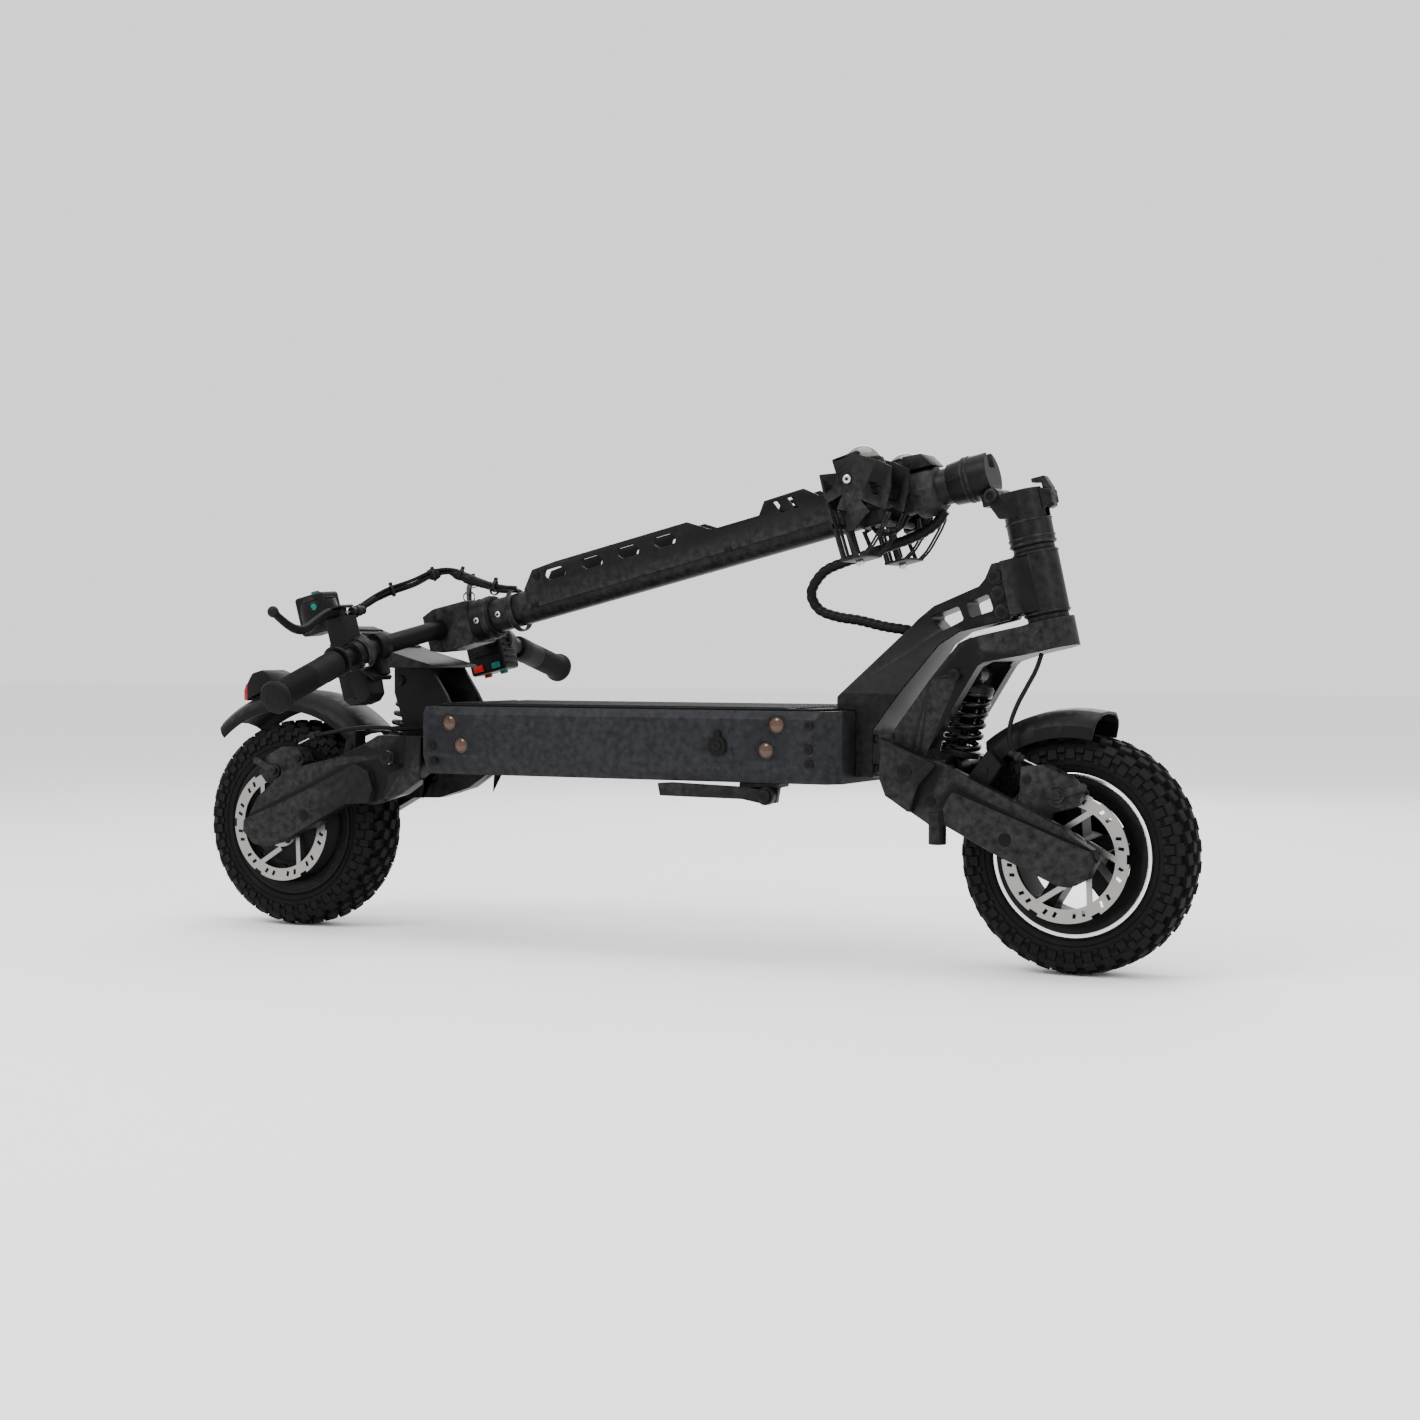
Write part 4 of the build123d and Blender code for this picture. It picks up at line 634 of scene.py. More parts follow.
def holed_plate(shape, outline, hole, links, depth):
    """A plate with one window; links are (outline, hole) corner pairs where its two halves meet."""
    outer = [shape.bm.verts.new(p) for p in outline]
    inner = [shape.bm.verts.new(p) for p in hole]
    (i, a), (j, b) = links

    def run(ring, start, stop, step):
        found = [ring[start]]
        while start != stop:
            start = (start + step) % len(ring)
            found.append(ring[start])
        return found

    faces = [shape.bm.faces.new(run(outer, i, j, 1) + run(inner, b, a, -1)),
             shape.bm.faces.new(run(outer, j, i, 1) + run(inner, a, b, -1))]
    shape.extrude(faces, depth, 0.4)


def hex_screw(shape, spot, out, radius, reach=2.6, metal=STEEL_BLACK):
    """A round-headed screw; its hexagon socket is a dark cap on the head, painted shade in place of a recess."""
    out = Vector(out).normalized()
    shape.use(metal)
    shape.rod(spot - out * 1.0 * MM, spot + out * reach * MM, radius, sides=20, soft=0.5)
    # dark hexagon on the head: painted shade standing in for the socket's recess
    shape.use(SHEATH).rod(spot + out * (reach - 0.4) * MM, spot + out * (reach + 0.05) * MM, radius * 0.48, sides=6)


# ---------------------------------------------------------------- headlamps
LAMP_T, LAMP_H = 121.0, 12.0
GUARD = [(24, 34), (18, 37), (-4, 36), (-16.5, 29), (-27, 23), (-41, 12), (-35, -10), (-23, -31), (2, -13), (-6, -28),
         (15, -40), (26, -44), (20.5, -21), (31, -16), (20.5, -2), (40, -7), (40, 4), (31, 8), (31, 15), (40, 18),
         (40, 25), (23, 22)]
WINDOW = [(-12, 3), (-26, -2), (-20, -15), (-13, -11)]


def lamp(side):
    """A finned headlamp with its dome lens, two side guards and the cage below it."""
    middle = side * 60.0

    def at(t, y, h):
        return stem(LAMP_T + t, middle + y, LAMP_H + h)

    shape = Shape("lamp_left" if side > 0 else "lamp_right").use(PLASTIC)
    body = [(0, -42), (15, -42), (17, -40), (17, -27), (20, -25)]
    for number in range(5):
        low = -24 + number * 7.2
        body += [(23, low), (23, low + 4.2), (20.4, low + 4.6), (20.4, low + 6.8)]
    body += [(23.2, 13), (24, 24), (23, 29.6), (21.5, 30), (20.5, 27), (0, 22)]
    shape.turn(body, STEM_H, at(0, 0, 0), steps=40, near=STEM_T, closed=False)
    shape.use(LINER).turn([(19.8, 26), (14, 23.5), (8, 20), (0, 19)], STEM_H, at(0, 0, 2), steps=32, near=STEM_T,
                          closed=False)
    shape.use(CLEAR)
    dome = [(20.2, 29.5)] + [(21.5 * cos(radians(a)), 26 + 21.5 * sin(radians(a))) for a in range(14, 91, 8)]
    dome[-1] = (0, 47.5)
    shape.turn(dome, STEM_H, at(0, 0, 0), steps=32, near=STEM_T, closed=False)
    shape.use(LATTICE)
    for face in (-26.0, 23.5):
        outline = [at(t, face, h) for t, h in GUARD]
        holed_plate(shape, outline, [at(t, face, h) for t, h in WINDOW], ((4, 0), (7, 2)), ACROSS * 2.5 * MM)
    shape.slab(at, -26, ((24, 34), (24, 37), (-6, 39), (-6, 36)), 52, 0.3)
    shape.slab(at, -26, ((40, 25), (42.5, 25), (42.5, -14), (40, -14)), 52, 0.3)
    for y in (-26, -19, -9, 6, 16, 23.4):
        shape.slab(at, y, ((42, -12), (38, -71), (35, -71), (39, -12)), 2.6, 0.3)
    for y in (-26, -18, 15, 23.4):
        arc = [at(-26, y, -34), at(-19, y, -43), at(-11, y, -51.5), at(2, y, -64), at(15, y, -72)]
        shape.sweep(smooth_path(arc, 4.0), 1.3, sides=8)
    for y in (-26, 22.5):
        shape.slab(at, y, ((24, -40), (28, -40), (22, -71), (18, -71)), 3.4, 0.3)
    shape.slab(at, -26, ((39, -70), (39, -72.5), (12, -72.5), (12, -70)), 52, 0.4)
    shape.slab(at, -26, ((40, -30), (40, -36), (37, -36), (37, -30)), 52, 0.3)
    shape.use(BRIGHT).rod(at(28, 0, -66), at(28, 0, -79), 2.2, sides=16)
    shape.rod(at(28, 0, -72.6), at(28, 0, -77.6), 4.6, sides=6, soft=0.5)
    for spot, way in ((-26.3, -1), (26.3, 1)):
        shape.use(BRIGHT).rod(at(11, spot, 12), at(11, spot + way * 2.2, 12), 4.8, sides=24, soft=0.7)
        # dark hexagon: painted shade of the screw's socket
        shape.use(SHEATH).rod(at(11, spot + way * 1.9, 12), at(11, spot + way * 2.3, 12), 2.1, sides=6)
        shape.use(LATTICE).turn([(12.2, spot - way * 0.3), (13.0, spot - way * 0.3), (13.0, spot + way * 0.25),
                                 (12.2, spot + way * 0.25)], (0, 1, 0), at(11, 0, 12), steps=8, near=STEM_T)
    shape.use(RED).slab(at, -25.5, ((-22, 22), (-30, 18), (-32, 13), (-26, 15)), 5, 0.3)
    shape.use(SHEATH)
    lead = [at(6, 0, -40), at(0, 0, -50), at(-8, -side * 14, -52), at(-14, -side * 32, -46), at(-20, -side * 46, -34)]
    shape.sweep(smooth_path(lead, 3.0), 2.2, sides=10)
    shape.done("lamps", "black_steel", ["headlamps"] if side > 0 else (), angle=34)


def lamp_mount():
    """Cross bar of the lamps and the faceted bracket round the stem."""
    shape = Shape("lamp_cross_bar").use(STEEL_BLACK)
    shape.rod(stem(LAMP_T, -60, -24.8), stem(LAMP_T, 60, -24.8), 4.0, sides=20)
    shape.rod(stem(LAMP_T, -9, -24.8), stem(LAMP_T, 9, -24.8), 5.4, sides=20, soft=0.5)
    shape.done("lamps", "black_steel")
    shape = Shape("stem_lamp_bracket").use(LATTICE)
    shape.turn([(20.3, 60), (26, 62), (28, 70), (28, 86), (25, 92), (20.3, 92)], STEM_T, stem(0, 0, 0), steps=8,
               near=STEM_H)
    shape.slab(stem, -19, ((60, 25), (70, 40), (92, 42), (96, 26)), 38, 0.8)
    shape.slab(stem, -4, ((110, -20), (132, -20), (130, -30), (112, -30)), 8, 0.6)
    shape.done("stem", "black_steel")


# ---------------------------------------------------------------- handlebar
def bar_end(side, back, reach=0.0):
    outer, inner = bar(45, side * 313, -54), bar(34, side * 190, -20)
    return outer + (inner - outer).normalized() * (back - reach) * MM


def grip(side):
    """A rubber grip: plain inner half, fine ribs outside, and a wide rounded end."""
    end, inner = bar_end(side, 0, 4), bar_end(side, 118)
    axis = (inner - end).normalized()
    profile = [(0, 0.6), (3.0, 0.4), (13, 0.4), (17.0, 1.6), (18.8, 4.6), (18.8, 7.4), (17.2, 10.4), (15.6, 13)]
    for number in range(24):
        low = 14.0 + number * 2.35
        profile += [(15.4, low), (15.4, low + 1.2), (14.5, low + 1.5), (14.5, low + 2.1)]
    profile += [(15.3, 71), (15.2, 96), (15.6, 98), (15.6, 119), (14.6, 121.4), (11.4, 121.8)]
    shape = Shape("grip_left" if side > 0 else "grip_right").use(GRIP)
    shape.turn(profile, axis, end, steps=48, closed=False)
    shape.turn([(7.5, 0.42), (8.0, 0.0), (8.6, 0.42)], axis, end, steps=40, closed=False)
    shape.use(SHEATH).rod(end + axis * 0.7 * MM, end + axis * 0.2 * MM, 1.9, sides=16)
    shape.done("stem", "grip_rubber", ["grips"] if side > 0 else (), angle=38)


def lever(side):
    """A cast lever: flat curved blade, hooked tip with a ball, and its pivot boss."""
    points = [(42, 160, 36), (43, 172, 37), (44, 184, 36), (46, 206, 28), (47, 226, 21), (48.5, 240, 22),
              (50, 250, 27),
              (51, 262, 36), (51, 272, 44)]
    path = smooth_path([bar(t, side * y, h) for t, y, h in points], 2.5)
    shape = Shape("lever_left" if side > 0 else "lever_right").use(STEEL_BLACK)
    total = sum((b - a).length for a, b in zip(path, path[1:])) / MM

    def blade(travelled, angle):
        share = travelled / total
        flat = 1.0 + 0.55 * abs(cos(angle)) - 0.25 * abs(sin(angle))
        return (1.15 - 0.25 * share) * flat

    shape.sweep(path, 3.5, sides=16, shape=blade)
    shape.ball(path[-1], 6.6, 20)
    pivot = bar(41, side * 158, 36)
    up = (bar(41, side * 158, 46) - pivot).normalized()
    shape.rod(pivot - up * 5 * MM, pivot + up * 5 * MM, 7.2, sides=28, soft=0.8)
    shape.use(BRIGHT).rod(pivot + up * 4.6 * MM, pivot + up * 6.0 * MM, 3.0, sides=18, soft=0.4)
    shape.done("left_lever" if side > 0 else "right_lever", "black_steel",
               ["left_brake_lever" if side > 0 else "right_brake_lever"], angle=50)


def perch(side):
    """The brake perch with its clamp, adjuster barrel and wire."""
    shape = Shape("perch_trim_left" if side > 0 else "perch_trim_right").use(STEEL_BLACK)
    low, high = bar(28, side * 146, -13), bar(31, side * 171, -17)
    axis = (high - low).normalized()
    shape.turn([(17.3, -2), (19.6, 0), (19.6, 9), (17.3, 11)], axis, low + axis * 4 * MM, steps=36)
    barrel = bar(33, side * 140, 36)
    inward = (bar(32, side * 112, 37) - barrel).normalized()
    shape.turn([(0, -8), (5.4, -8), (5.4, 0), (6.4, 1), (6.4, 8), (5.0, 9), (5.0, 15), (3.4, 17), (0, 17)], inward,
               barrel, steps=20, closed=False)
    shape.use(WIRE).rod(barrel - inward * 20 * MM, barrel, 1.0, sides=10)
    hex_screw(shape, bar(20, side * 162, -30), bar(20, side * 162, -60) - bar(20, side * 162, -30), 3.2, metal=BRIGHT)
    shape.done("stem", "black_steel")


def near_pod():
    """Power switch pod: round-backed housing with two green keys carrying a painted glow, and seams."""
    shape = Shape("near_pod_trim").use(PLASTIC)
    centre = bar(74, -152, 43)
    up = (bar(74, -152, 66) - centre).normalized()
    shape.turn([(5.6, -21), (19, -21), (22.5, -17), (23.5, 0), (22, 14), (17.5, 21.5), (9, 23.5), (5.6, 23.2)],
               up, centre, steps=36)
    shape.turn([(21.6, 14.4), (22.6, 15.2), (21.0, 16.4)], up, centre, steps=36)
    shape.use(GREEN_KEY_PAINTED_GLOW).ball(bar(92, -158, 46), 6.0, 16)
    shape.use(PLASTIC).turn([(6.2, 0), (8.2, 0), (8.2, 2), (6.2, 2.6)], bar(97, -160, 47) - bar(90, -157, 46),
                            bar(92.5, -158, 46), steps=24)
    shape.use(GREEN_KEY_PAINTED_GLOW).rod(bar(66, -171.5, 50), bar(66, -174, 50), 4.0, sides=20, soft=0.8)
    hex_screw(shape, bar(86, -140, 64), up, 2.6, 1.2, SHEATH)
    shape.done("stem", "black_plastic")


POD_FACE = 127.6


def far_pod():
    """Seams and rocker keys of the far switch pod."""
    shape = Shape("far_pod_trim").use(PLASTIC)
    for h in (-45, -37, -29, -21, -13):
        shape.plate([bar(13.2, 134, h), bar(13.2, 134, h + 2.2), bar(13.2, 158, h + 2.2), bar(13.2, 158, h)],
                    bar(11.8, 134, 0) - bar(13.2, 134, 0), 0.2)
    shape.use(RED_KEY).slab(bar, POD_FACE, ((45, -48), (45, -40), (59, -40), (59, -48)), -2.4)
    # the green rocker key carries its material's painted glow
    shape.use(GREEN_KEY_PAINTED_GLOW).slab(bar, POD_FACE, ((20, -48), (20, -41), (32, -41), (32, -48)), -2.0)
    shape.use(PLASTIC).slab(bar, POD_FACE, ((22, -30), (22, -18), (54, -18), (54, -30)), -2.0)
    shape.done("stem", "black_plastic")


def display():
    """Display block: a rounded housing, glass on its face, the sun visor and the arm to the bar."""
    shape = Shape("display_body").use(PLASTIC)
    profile = [(36, -34), (40, -30), (73, -30), (76, -34), (76, -62), (70, -69), (60, -70.5), (46, -69), (38, -62)]
    shape.slab(bar, -142, profile, 32, 2.0)
    visor = [(24, -44), (73, 8), (77, 6), (76, 2), (28, -48)]
    shape.slab(bar, -144, visor, 36, 0.9)
    shape.slab(bar, -129, ((22, -42), (22, -8), (46, -8), (46, -42)), 17, 1.4)
    low, high = bar(25.6, -112, -8.2), bar(29, -126, -9.6)
    shape.rod(low, high, 17.0, sides=36, soft=0.8)
    shape.use(GLASS).plate([bar(76.2, -138, -38), bar(76.2, -138, -62), bar(76.2, -114, -62), bar(76.2, -114, -38)],
                           bar(76.8, -138, -38) - bar(76.2, -138, -38), 0.2)
    hex_screw(shape, bar(20, -120, -20), STEM_T * -1, 2.6, 1.5, BRIGHT)
    shape.done("stem", "black_plastic", ["display_unit"])


NEAR_RUN = [(62, -133.7, 34), (62, -119, 34.5)]
NEAR_OPEN = [(-343, -101, 397), (-326, -80, 411), (-304, -59, 421), (-285, -43, 432), (-266, -30, 435),
             (-244, -21, 427), (-218, -13, 419), (-192, -6, 416.4)]
FAR_OPEN = [(-336, 118, 390), (-325, 97, 404), (-310, 74, 416), (-292, 52, 425), (-272, 34, 426), (-250, 20, 420),
            (-226, 12, 414), (-200, 8, 412.9)]


def offset_path(points, shift, swirl=0.0, turn=0.0):
    """The same run beside itself, winding round it when swirl is set."""
    moved = []
    for number, point in enumerate(points):
        share = number / (len(points) - 1)
        ease = sin(pi * share)
        angle = turn + swirl * share
        moved.append(point + Vector((0, cos(angle), sin(angle))) * shift * ease * MM)
    return moved


def bar_harness():
    """Cables from both pods, tied together in front of the clamp, with their connectors."""
    near = smooth_path([bar(*p) for p in NEAR_RUN] + [world(*p) for p in NEAR_OPEN], 3.0)
    far = smooth_path([bar(50, 140, -5.7), bar(50, 139.5, 12)] + [world(*p) for p in FAR_OPEN], 3.0)
    shape = Shape("bar_harness").use(SHEATH)
    for turn, radius, swirl in ((0.3, 2.1, 3.0), (2.4, 1.8, -2.2), (4.4, 1.5, 3.6)):
        shape.sweep(offset_path(near, 5.0, swirl, turn), radius, sides=9)
        shape.sweep(offset_path(far, 4.4, swirl, turn + 1.0), radius * 0.9, sides=9)
    shape.sweep(near, 2.4, sides=10)
    shape.sweep(far, 2.2, sides=10)
    shape.use(PLASTIC)
    for run, start, stop in ((near, 0.10, 0.24), (far, 0.12, 0.24)):
        a, b = run[int(start * len(run))], run[int(stop * len(run))]
        along = (b - a).normalized()
        length = (b - a).length / MM
        boot = [(0, 0), (6.8, 0), (7.4, 2)]
        for number in range(5):
            low = 5 + number * 3.2
            boot += [(7.0 - number * 0.5, low), (5.6 - number * 0.4, low + 1.6)]
        boot += [(4.4, length - 2), (3.0, length), (0, length)]
        shape.turn(boot, along, a, steps=20, closed=False)
    a, b = world(-270, -30, 436), world(-223, -15, 417)
    along = (b - a).normalized()
    barrel = [(0, 0), (3.6, 0), (4.2, 3), (6.0, 8), (6.2, 12), (5.4, 13), (5.4, 19), (6.4, 20), (6.4, 30), (5.6, 33)]
    barrel += [(4.6, 36), (5.0, 38), (4.2, 40), (4.6, 42), (3.8, 45), (3.2, 52), (0, 52)]
    shape.turn(barrel, along, a, steps=20, closed=False)
    shape.ball(world(-287, -41, 433), 8.5, 16, (1.25, 0.8, 0.85))
    shape.use(TIE)
    for run, shares in ((near, (0.34, 0.56, 0.70, 0.88)), (far, (0.36, 0.60, 0.86))):
        for share in shares:
            spot = run[int(share * (len(run) - 1))]
            along = (run[min(len(run) - 1, int(share * (len(run) - 1)) + 2)] - spot).normalized()
            shape.turn([(6.6, -1.6), (7.6, -1.6), (7.6, 1.6), (6.6, 1.6)], along, spot, steps=20)
            shape.box((8.4, 0, 0), (3.4, 4.2, 4.2), basis(along, spot), soft=0.5)
    shape.done("stem", "black_plastic", ["bar_cables"], angle=50)


# ---------------------------------------------------------------- stem
def stem_screws():
    """Screws of the side plates and the bar clamp, with the clamp's two ring beads."""
    shape = Shape("stem_screws")
    for side in (1, -1):
        out = ACROSS * side
        for t, h in ((631, -2), (662, -2)):
            hex_screw(shape, stem(t, side * 24.2, h), out, 3.6, 1.8, BRIGHT)
        for t, h in ((580, -4), (318, -4), (570, 30)):
            hex_screw(shape, stem(t, side * 23.5, h), out, 4.4, 2.2)
    for y in (-17, 17):
        for h in (-15, 15):
            hex_screw(shape, bar(19.2, y, h), STEM_T, 3.4, 2.6)
    shape.use(LATTICE)
    for t in (612, 650):
        shape.turn([(24.9, t), (26.2, t + 1.5), (26.2, t + 6.5), (24.9, t + 8)], STEM_T, stem(0, 0, 0), steps=48,
                   near=STEM_H)
    shape.done("stem", "black_steel")


HEAD_RINGS = (38.0, 44.0, 62.0)


def fold_details():
    """Pin heads, ring beads and the seat between the two fold castings."""
    shape = Shape("fold_trim").use(STEEL_BLACK)
    for side in (1, -1):
        spot = head(-27, side * 27.6, 96)
        shape.turn([(0, 0.6), (3.0, 0.6), (3.6, 1.6), (6.6, 1.6), (7.4, 0.4), (7.4, -2)], ACROSS * side, spot,
                   steps=24,
                   closed=False)
    for s in HEAD_RINGS:
        shape.turn([(24.3, s - 1.6), (25.6, s - 0.8), (25.6, s + 0.8), (24.3, s + 1.6)],
                   (-sin(TILT), 0, cos(TILT)), head(0, 0, 0), steps=48)
    shape.done("steering", "black_steel")
    shape = Shape("stem_foot_bead").use(PAINT)
    for t in (22.0, 27.0):
        shape.turn([(24.3, t), (25.7, t + 1.2), (25.7, t + 2.8), (24.3, t + 4)], STEM_T, stem(0, 0, 0), steps=48,
                   near=STEM_H)
    shape.done("stem", "frame_paint")


# ---------------------------------------------------------------- deck and neck
DECK_HALF = 98.0


def deck_details():
    """Ribbed mat, lens bezels and bolt heads."""
    shape = Shape("deck_mat_ribs").use(MAT)
    outline = [(-254, -86), (236, -86), (248, -58), (248, -46), (222, -46), (222, 46), (248, 46), (248, 58),
               (236, 86),
               (-254, 86)]
    shape.plate([world(x, y, 277) for x, y in outline], world(0, 0, 2.4), 0.6, corner=5)
    for number in range(17):
        y = -80 + number * 10
        shape.box((-18, y, 279.6), (448, 5.0, 2.6), soft=0.5, taper=0.96)
    for x in (-246, 212):
        shape.box((x, 0, 279.6), (5.0, 164, 2.6), soft=0.5, taper=0.96)
    shape.done("frame", "tyre_rubber", ["deck_mat"])
    shape = Shape("deck_trim")
    for side in (1, -1):
        face = side * DECK_HALF
        for x, z in ((194.0, 262.0), (181.0, 234.0), (-228.0, 258.0), (-212.0, 232.0)):
            spot = world(x, face - side * 1.0, z)
            shape.use(STEEL_BLACK).turn([(8.8, -0.5), (12.6, -0.5), (12.6, 0.9), (11.4, 1.9), (9.2, 1.9), (8.6, 0.9)],
                                        ACROSS * side, spot, steps=36)
            shape.use(AMBER).turn([(0, 2.0), (4.0, 1.8), (7.0, 1.0), (8.5, -0.4)], ACROSS * side, spot, steps=28,
                                  closed=False)
        for x, z in ((233, 262), (233, 236), (233, 220), (-252, 231), (-250, 212)):
            hex_screw(shape, world(x, face, z), ACROSS * side, 5.2, 2.6)
        shape.use(STEEL_BLACK)
        shape.turn([(5.2, 0.0), (8.4, 0.0), (8.2, 0.8), (5.4, 0.8)], ACROSS * side, world(233, face, 236), steps=28)
    hex_screw(shape, world(123, -101.6, 238), -ACROSS, 5.0, 1.6)
    for y in (-31, 31):
        for z in (214, 246):
            hex_screw(shape, world(283, y, z), (1, 0, 0), 5.0, 3.4)
    hex_screw(shape, world(178, -97.5, 184), -ACROSS, 6.0, 1.4)
    shape.done("frame", "black_steel")


def neck_details():
    """Bolts in ring counterbores, the weld round the head tube and two ring beads round it."""
    shape = Shape("neck_trim")
    for side in (1, -1):
        out = ACROSS * side
        for s in (12.0, -7.5, -27.0):
            spot = head(-42, side * 19.5, s)
            shape.use(STEEL_BLACK).turn([(7.2, 0), (9.2, 0), (8.9, 1.2), (7.4, 1.2)], out, spot, steps=28)
            hex_screw(shape, spot, out, 6.4, 4.4)
        shape.use(PAINT)
        bead = [head(-29.5, side * y, s) for y, s in ((18.5, -32), (19.6, -22), (19.4, -10), (19.6, 2), (19.2, 14),
                                                       (18.4, 23))]
        shape.sweep(smooth_path(bead, 1.6), 1.9, sides=10, shape=weld)
    for s in (-37.5, 27.2):
        shape.turn([(24.2, s - 1.2), (25.5, s - 0.6), (25.5, s + 0.6), (24.2, s + 1.2)],
                   (-sin(TILT), 0, cos(TILT)), head(0, 0, 0), steps=48)
    shape.done("frame", "frame_paint", angle=60)
    shape = Shape("fork_trim")
    for side in (1, -1):
        hex_screw(shape, world(388, side * 66, 317.5), ACROSS * side, 6.4, 2.8)
    shape.done("steering", "black_steel")


def weld(travelled, angle):
    """Overlapping weld ripples."""
    return 0.86 + 0.14 * abs(sin(travelled * pi / WELD_PITCH))


def arm_details():
    """Pivot caps, dark discs on the arms' covers that paint the shade of their holes, axle caps, and the shocks'
    spring collars and feet.
    """
    for name, body, pivot, shaded_holes, axle in (
            ("front_arm_trim", "front_arm", (339.2, 213.8), ((366, 183), (452, 146)), FRONT_AXLE),
            ("rear_arm_trim", "rear_arm", (-325.6, 214.7), ((-352, 182), (-446, 142)), REAR_AXLE)):
        shape = Shape(name)
        for side in (1, -1):
            out = ACROSS * side
            # dark discs: painted shade of the holes in the arm covers
            x, z = shaded_holes[1]
            shape.use(SHEATH).rod(world(x, side * 85.0, z), world(x, side * 86.5, z), 7.2, sides=28, soft=0.5)
            x, z = shaded_holes[0]
            shape.use(SHEATH).rod(world(x, side * 77.4, z), world(x, side * 78.6, z), 6.0, sides=28, soft=0.4)
            hex_screw(shape, world(pivot[0], side * 86.0, pivot[1]), out, 8.2, 1.6)
            spot = world(axle[0], side * 79, axle[1])
            shape.use(STEEL_BLACK).turn([(6.0, 6), (8, 6.8), (10.5, 6.4), (10.5, 2)], out, spot, steps=28,
                                        closed=False)
        shape.done(body, "black_steel")
    for end, low, top in SHOCKS:
        upper = Shape(end + "_shock_collar").use(STEEL_BLACK)
        start, stop = world(low[0], 0, low[1]), world(top[0], 0, top[1])
        up = (stop - start).normalized()
        length = (stop - start).length / MM
        upper.turn([(9.2, length - 22), (21.6, length - 19), (22.4, length - 14), (20.5, length - 11),
                    (13, length - 9),
                    (9.2, length - 8)], up, start, steps=36)
        upper.done(end + "_shock_upper", "black_steel")
        lower = Shape(end + "_shock_foot").use(STEEL_BLACK)
        lower.turn([(6.0, 8), (13, 10), (21, 12.2), (22.4, 15), (21.6, 18.4), (6.0, 18.8)], up, start, steps=36)
        lower.done(end + "_shock_lower", "black_steel")


def caliper_details(end, pivot, sign):
    """Piston caps, mounting bolts and the cable's barrel on one caliper."""
    shape = Shape(end + "_caliper_trim").use(STEEL_BLACK)
    spot = world(pivot[0], -63.8, pivot[1])
    shape.turn([(9, -3.4), (10.5, -3.0), (12.2, -0.6), (12.2, 0.5), (9, 0.5)], (0, -1, 0), spot, steps=28)
    cap = [(0, 4.4), (4.0, 4.4), (5.2, 3.2), (5.2, 0)]
    shape.turn(cap, (0, -1, 0), world(pivot[0], -67.2, pivot[1]), steps=20, closed=False)
    for dx, dz in ((-34, 16), (-18, -22)):
        hex_screw(shape, world(pivot[0] + sign * dx, -63.6, pivot[1] + dz), (0, -1, 0), 4.2, 3.2)
    shape.use(STEEL_BLACK)
    start = world(456, -59, 232) if end == "front" else world(-448, -58.5, 238)
    ahead = (world(pivot[0] + sign * 14, -61, pivot[1] + 14) - start).normalized()
    barrel = [(0, -9), (3.4, -9), (3.8, -7), (3.8, -2), (5.4, -1), (5.4, 3), (4.6, 4), (4.6, 7), (3.0, 8), (0, 8)]
    shape.turn(barrel, ahead, start, steps=18, closed=False)
    shape.use(WIRE).sweep([start + ahead * 7 * MM, start + ahead * 16 * MM, start + ahead * 26 * MM], 0.9, sides=8)
    shape.use(SHEATH).box((pivot[0] - sign * 8, -57, pivot[1] + 24), (16, 9, 5), soft=1.2)
    shape.done(end + "_arm", "black_steel")


# ---------------------------------------------------------------- rear end
def tail_details():
    """Tail lamp housing with its red lens, and the footrest's weld seams, grip strips and bolts."""
    shape = Shape("tail_lamp").use(PLASTIC)
    outline = [(-579, 279), (-560, 287.5), (-543, 291), (-538.5, 303), (-546, 314), (-556, 317), (-571, 313),
               (-579, 300)]
    shape.slab(world, -24, outline, 48, 2.2)
    shape.slab(world, -18, ((-575, 283), (-545, 292), (-545, 287), (-573, 277)), 36, 0.6)
    shape.use(RED).slab(world, -21, ((-579.2, 278), (-579.2, 300), (-582.6, 299), (-585.6, 291), (-585.6, 279)), 42,
                        1.2)
    for number in range(5):
        y = -16 + number * 8
        shape.slab(world, y - 0.6, ((-585.2, 280), (-585.2, 291), (-586, 291), (-586, 280)), 1.2, 0.0)
    shape.done("rear_arm", "black_plastic", ["tail_light"])
    shape = Shape("footrest_trim").use(PAINT)
    for side in (1, -1):
        for x, z in ((-280, 262), (-282, 232)):
            hex_screw(shape, world(x, side * 38.2, z), ACROSS * side, 4.4, 2.6)
        hex_screw(shape, world(-337, side * 38.2, 306), ACROSS * side, 6.2, 3.0)
        shape.use(PAINT)
        seam = [world(-344, side * 38.6, 321), world(-320, side * 38.6, 322), world(-297, side * 38.6, 322.5)]
        shape.sweep(smooth_path(seam, 1.6), 1.5, sides=8, shape=weld)
    shape.use(MAT)
    for share in (0.14, 0.30, 0.46, 0.62, 0.78):
        x, z = -422 + 76 * share, 372 - 31 * share
        half = 24 + 18 * share
        shape.plate([world(x, -half, z - 0.5), world(x + 5, -half, z - 2.5), world(x + 5.6, -half, z - 0.6),
                     world(x + 0.6, -half, z + 1.2)], ACROSS * 2 * half * MM, 0.3)
    shape.done("frame", "frame_paint")
    shape = Shape("mudguard_trim").use(STEEL_BLACK)
    for side in (1, -1):
        hex_screw(shape, world(-393, side * 64.0, 226), ACROSS * side, 4.0, 1.8)
    shape.done("rear_arm", "black_steel")
    shape = Shape("front_guard_trim")
    for side in (1, -1):
        hex_screw(shape, world(421, side * 64.0, 216), ACROSS * side, 4.0, 1.8)
    shape.done("front_arm", "black_steel")


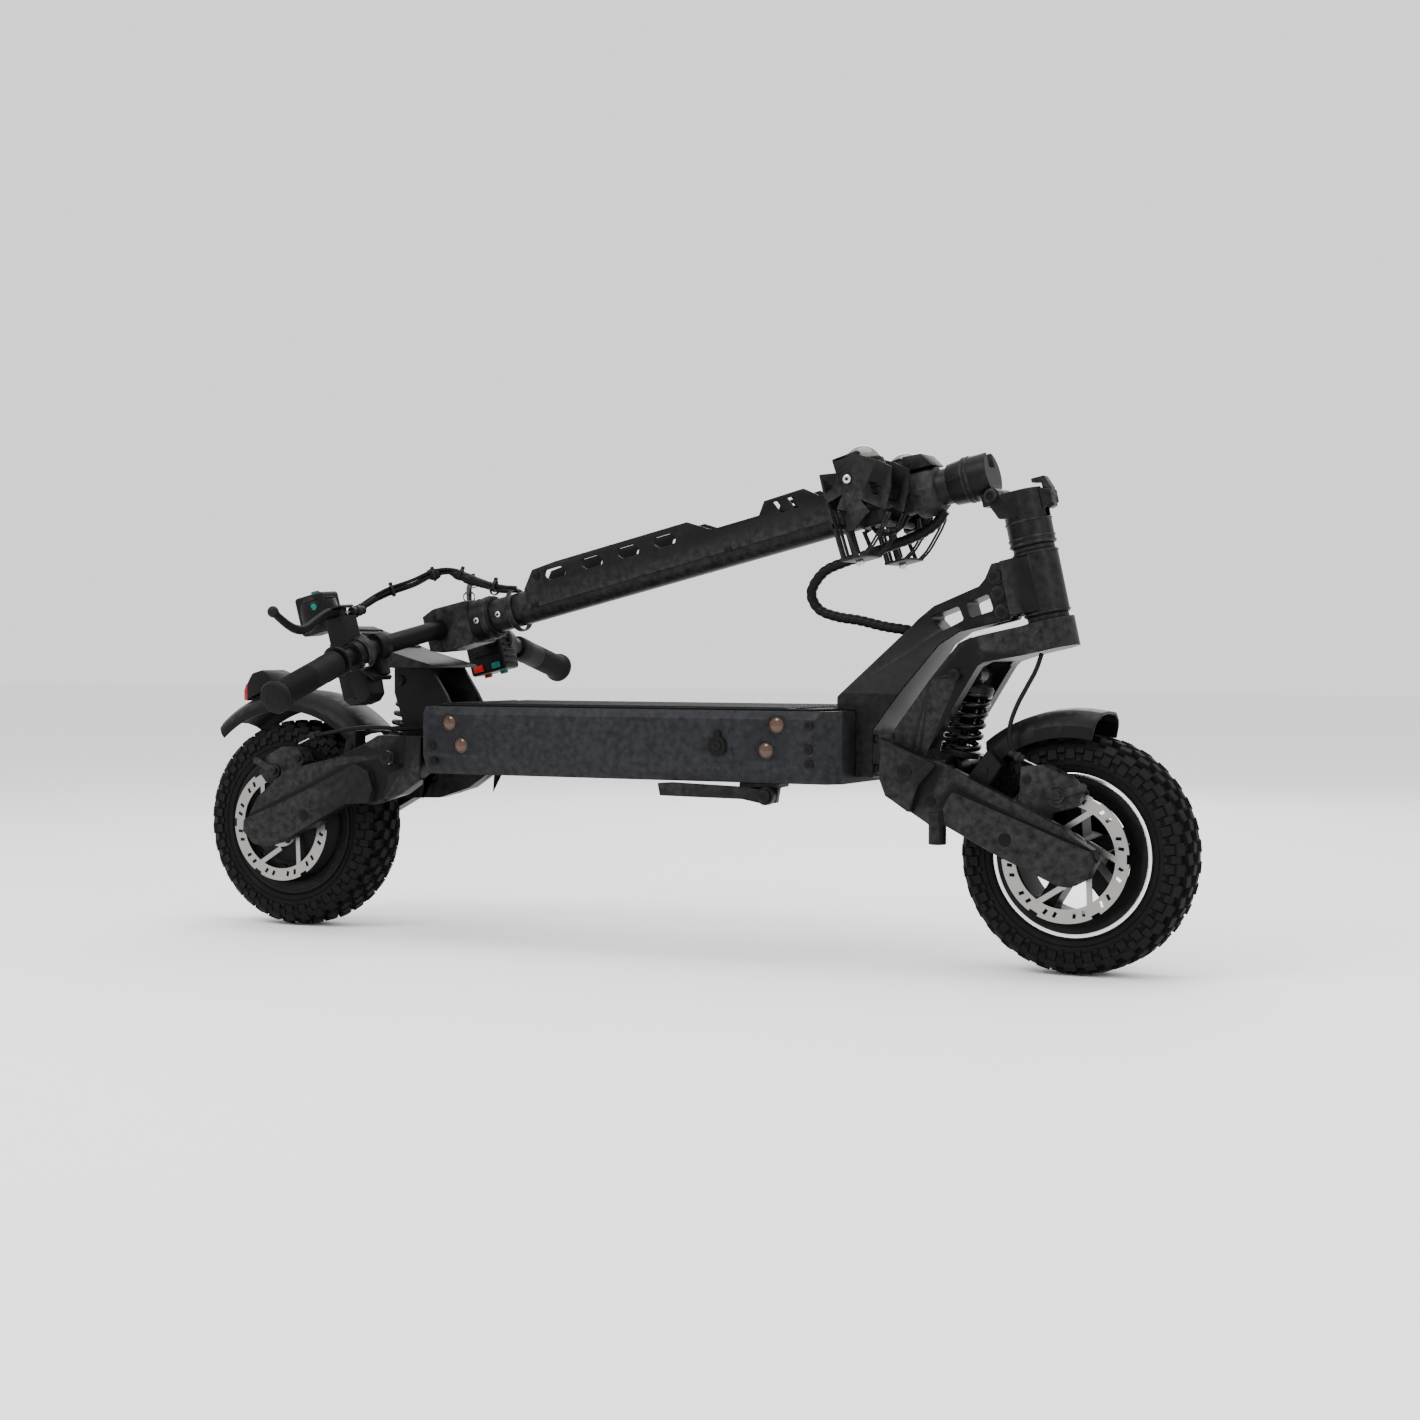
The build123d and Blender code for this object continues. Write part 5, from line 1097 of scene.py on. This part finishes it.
# ---------------------------------------------------------------- studio
def studio():
    """Pale floor and backdrop, soft lights and the camera."""
    scene = bpy.context.scene
    bm = bmesh.new()
    bmesh.ops.create_grid(bm, x_segments=1, y_segments=1, size=14.0)
    mesh = bpy.data.meshes.new("studio_floor")
    bm.to_mesh(mesh)
    bm.free()
    floor = bpy.data.objects.new("studio_floor", mesh)
    floor.location.z = -0.0005
    scene.collection.objects.link(floor)
    mesh.materials.append(FLOOR)
    sky = bpy.data.worlds.new("studio_sky")
    sky.use_nodes = True
    sky.node_tree.nodes["Background"].inputs["Color"].default_value = (1.0, 1.0, 1.0, 1)
    sky.node_tree.nodes["Background"].inputs["Strength"].default_value = 1.35
    scene.world = sky
    for name, place, aim, size, power in (
            ("key", (-0.9, -2.2, 2.6), (0, 0, 0.2), 1.6, 70), ("side", (2.6, -1.2, 1.5), (0.2, 0, 0.3), 1.2, 26),
            ("top", (0.2, 0.4, 3.0), (0, 0, 0.3), 2.4, 60), ("back", (-0.6, 2.6, 1.6), (0, 0, 0.3), 1.8, 24)):
        lamp_data = bpy.data.lights.new(name, "AREA")
        lamp_data.shape = "DISK"
        lamp_data.size = size
        lamp_data.energy = power
        light = bpy.data.objects.new(name, lamp_data)
        light.matrix_world = basis(Vector(place) - Vector(aim), Vector(place), (1, 0, 0))
        scene.collection.objects.link(light)
    data = bpy.data.cameras.new("camera")
    data.sensor_width = 36.0
    data.lens = 61.30
    data.clip_start = 0.05
    data.clip_end = 60.0
    camera = bpy.data.objects.new("camera", data)
    right = Vector((0.890302, 0.455371, 0.000315))
    up = Vector((-0.012854, 0.024439, 0.999619))
    back = right.cross(up).normalized()
    camera.matrix_world = (Matrix.Translation(world(1323.883, -2464.668, 350.78))
                           @ Matrix((right, back.cross(right), back)).transposed().to_4x4())
    scene.collection.objects.link(camera)
    scene.camera = camera


# ---------------------------------------------------------------- the scooter
paint_nodes()
tyre("front_tyre_tread", "front_wheel", FRONT_AXLE)
tyre("rear_tyre_tread", "rear_wheel", REAR_AXLE)
wheel_details()
for end, low, top in SHOCKS:
    spring(end, low, top)
cords()
lamp(1)
lamp(-1)
lamp_mount()
for side in (1, -1):
    grip(side)
    lever(side)
    perch(side)
near_pod()
far_pod()
display()
bar_harness()
stem_screws()
fold_details()
deck_details()
neck_details()
arm_details()
caliper_details("front", (502.0, 192.0), 1)
caliper_details("rear", (-504.0, 194.0), -1)
tail_details()
studio()
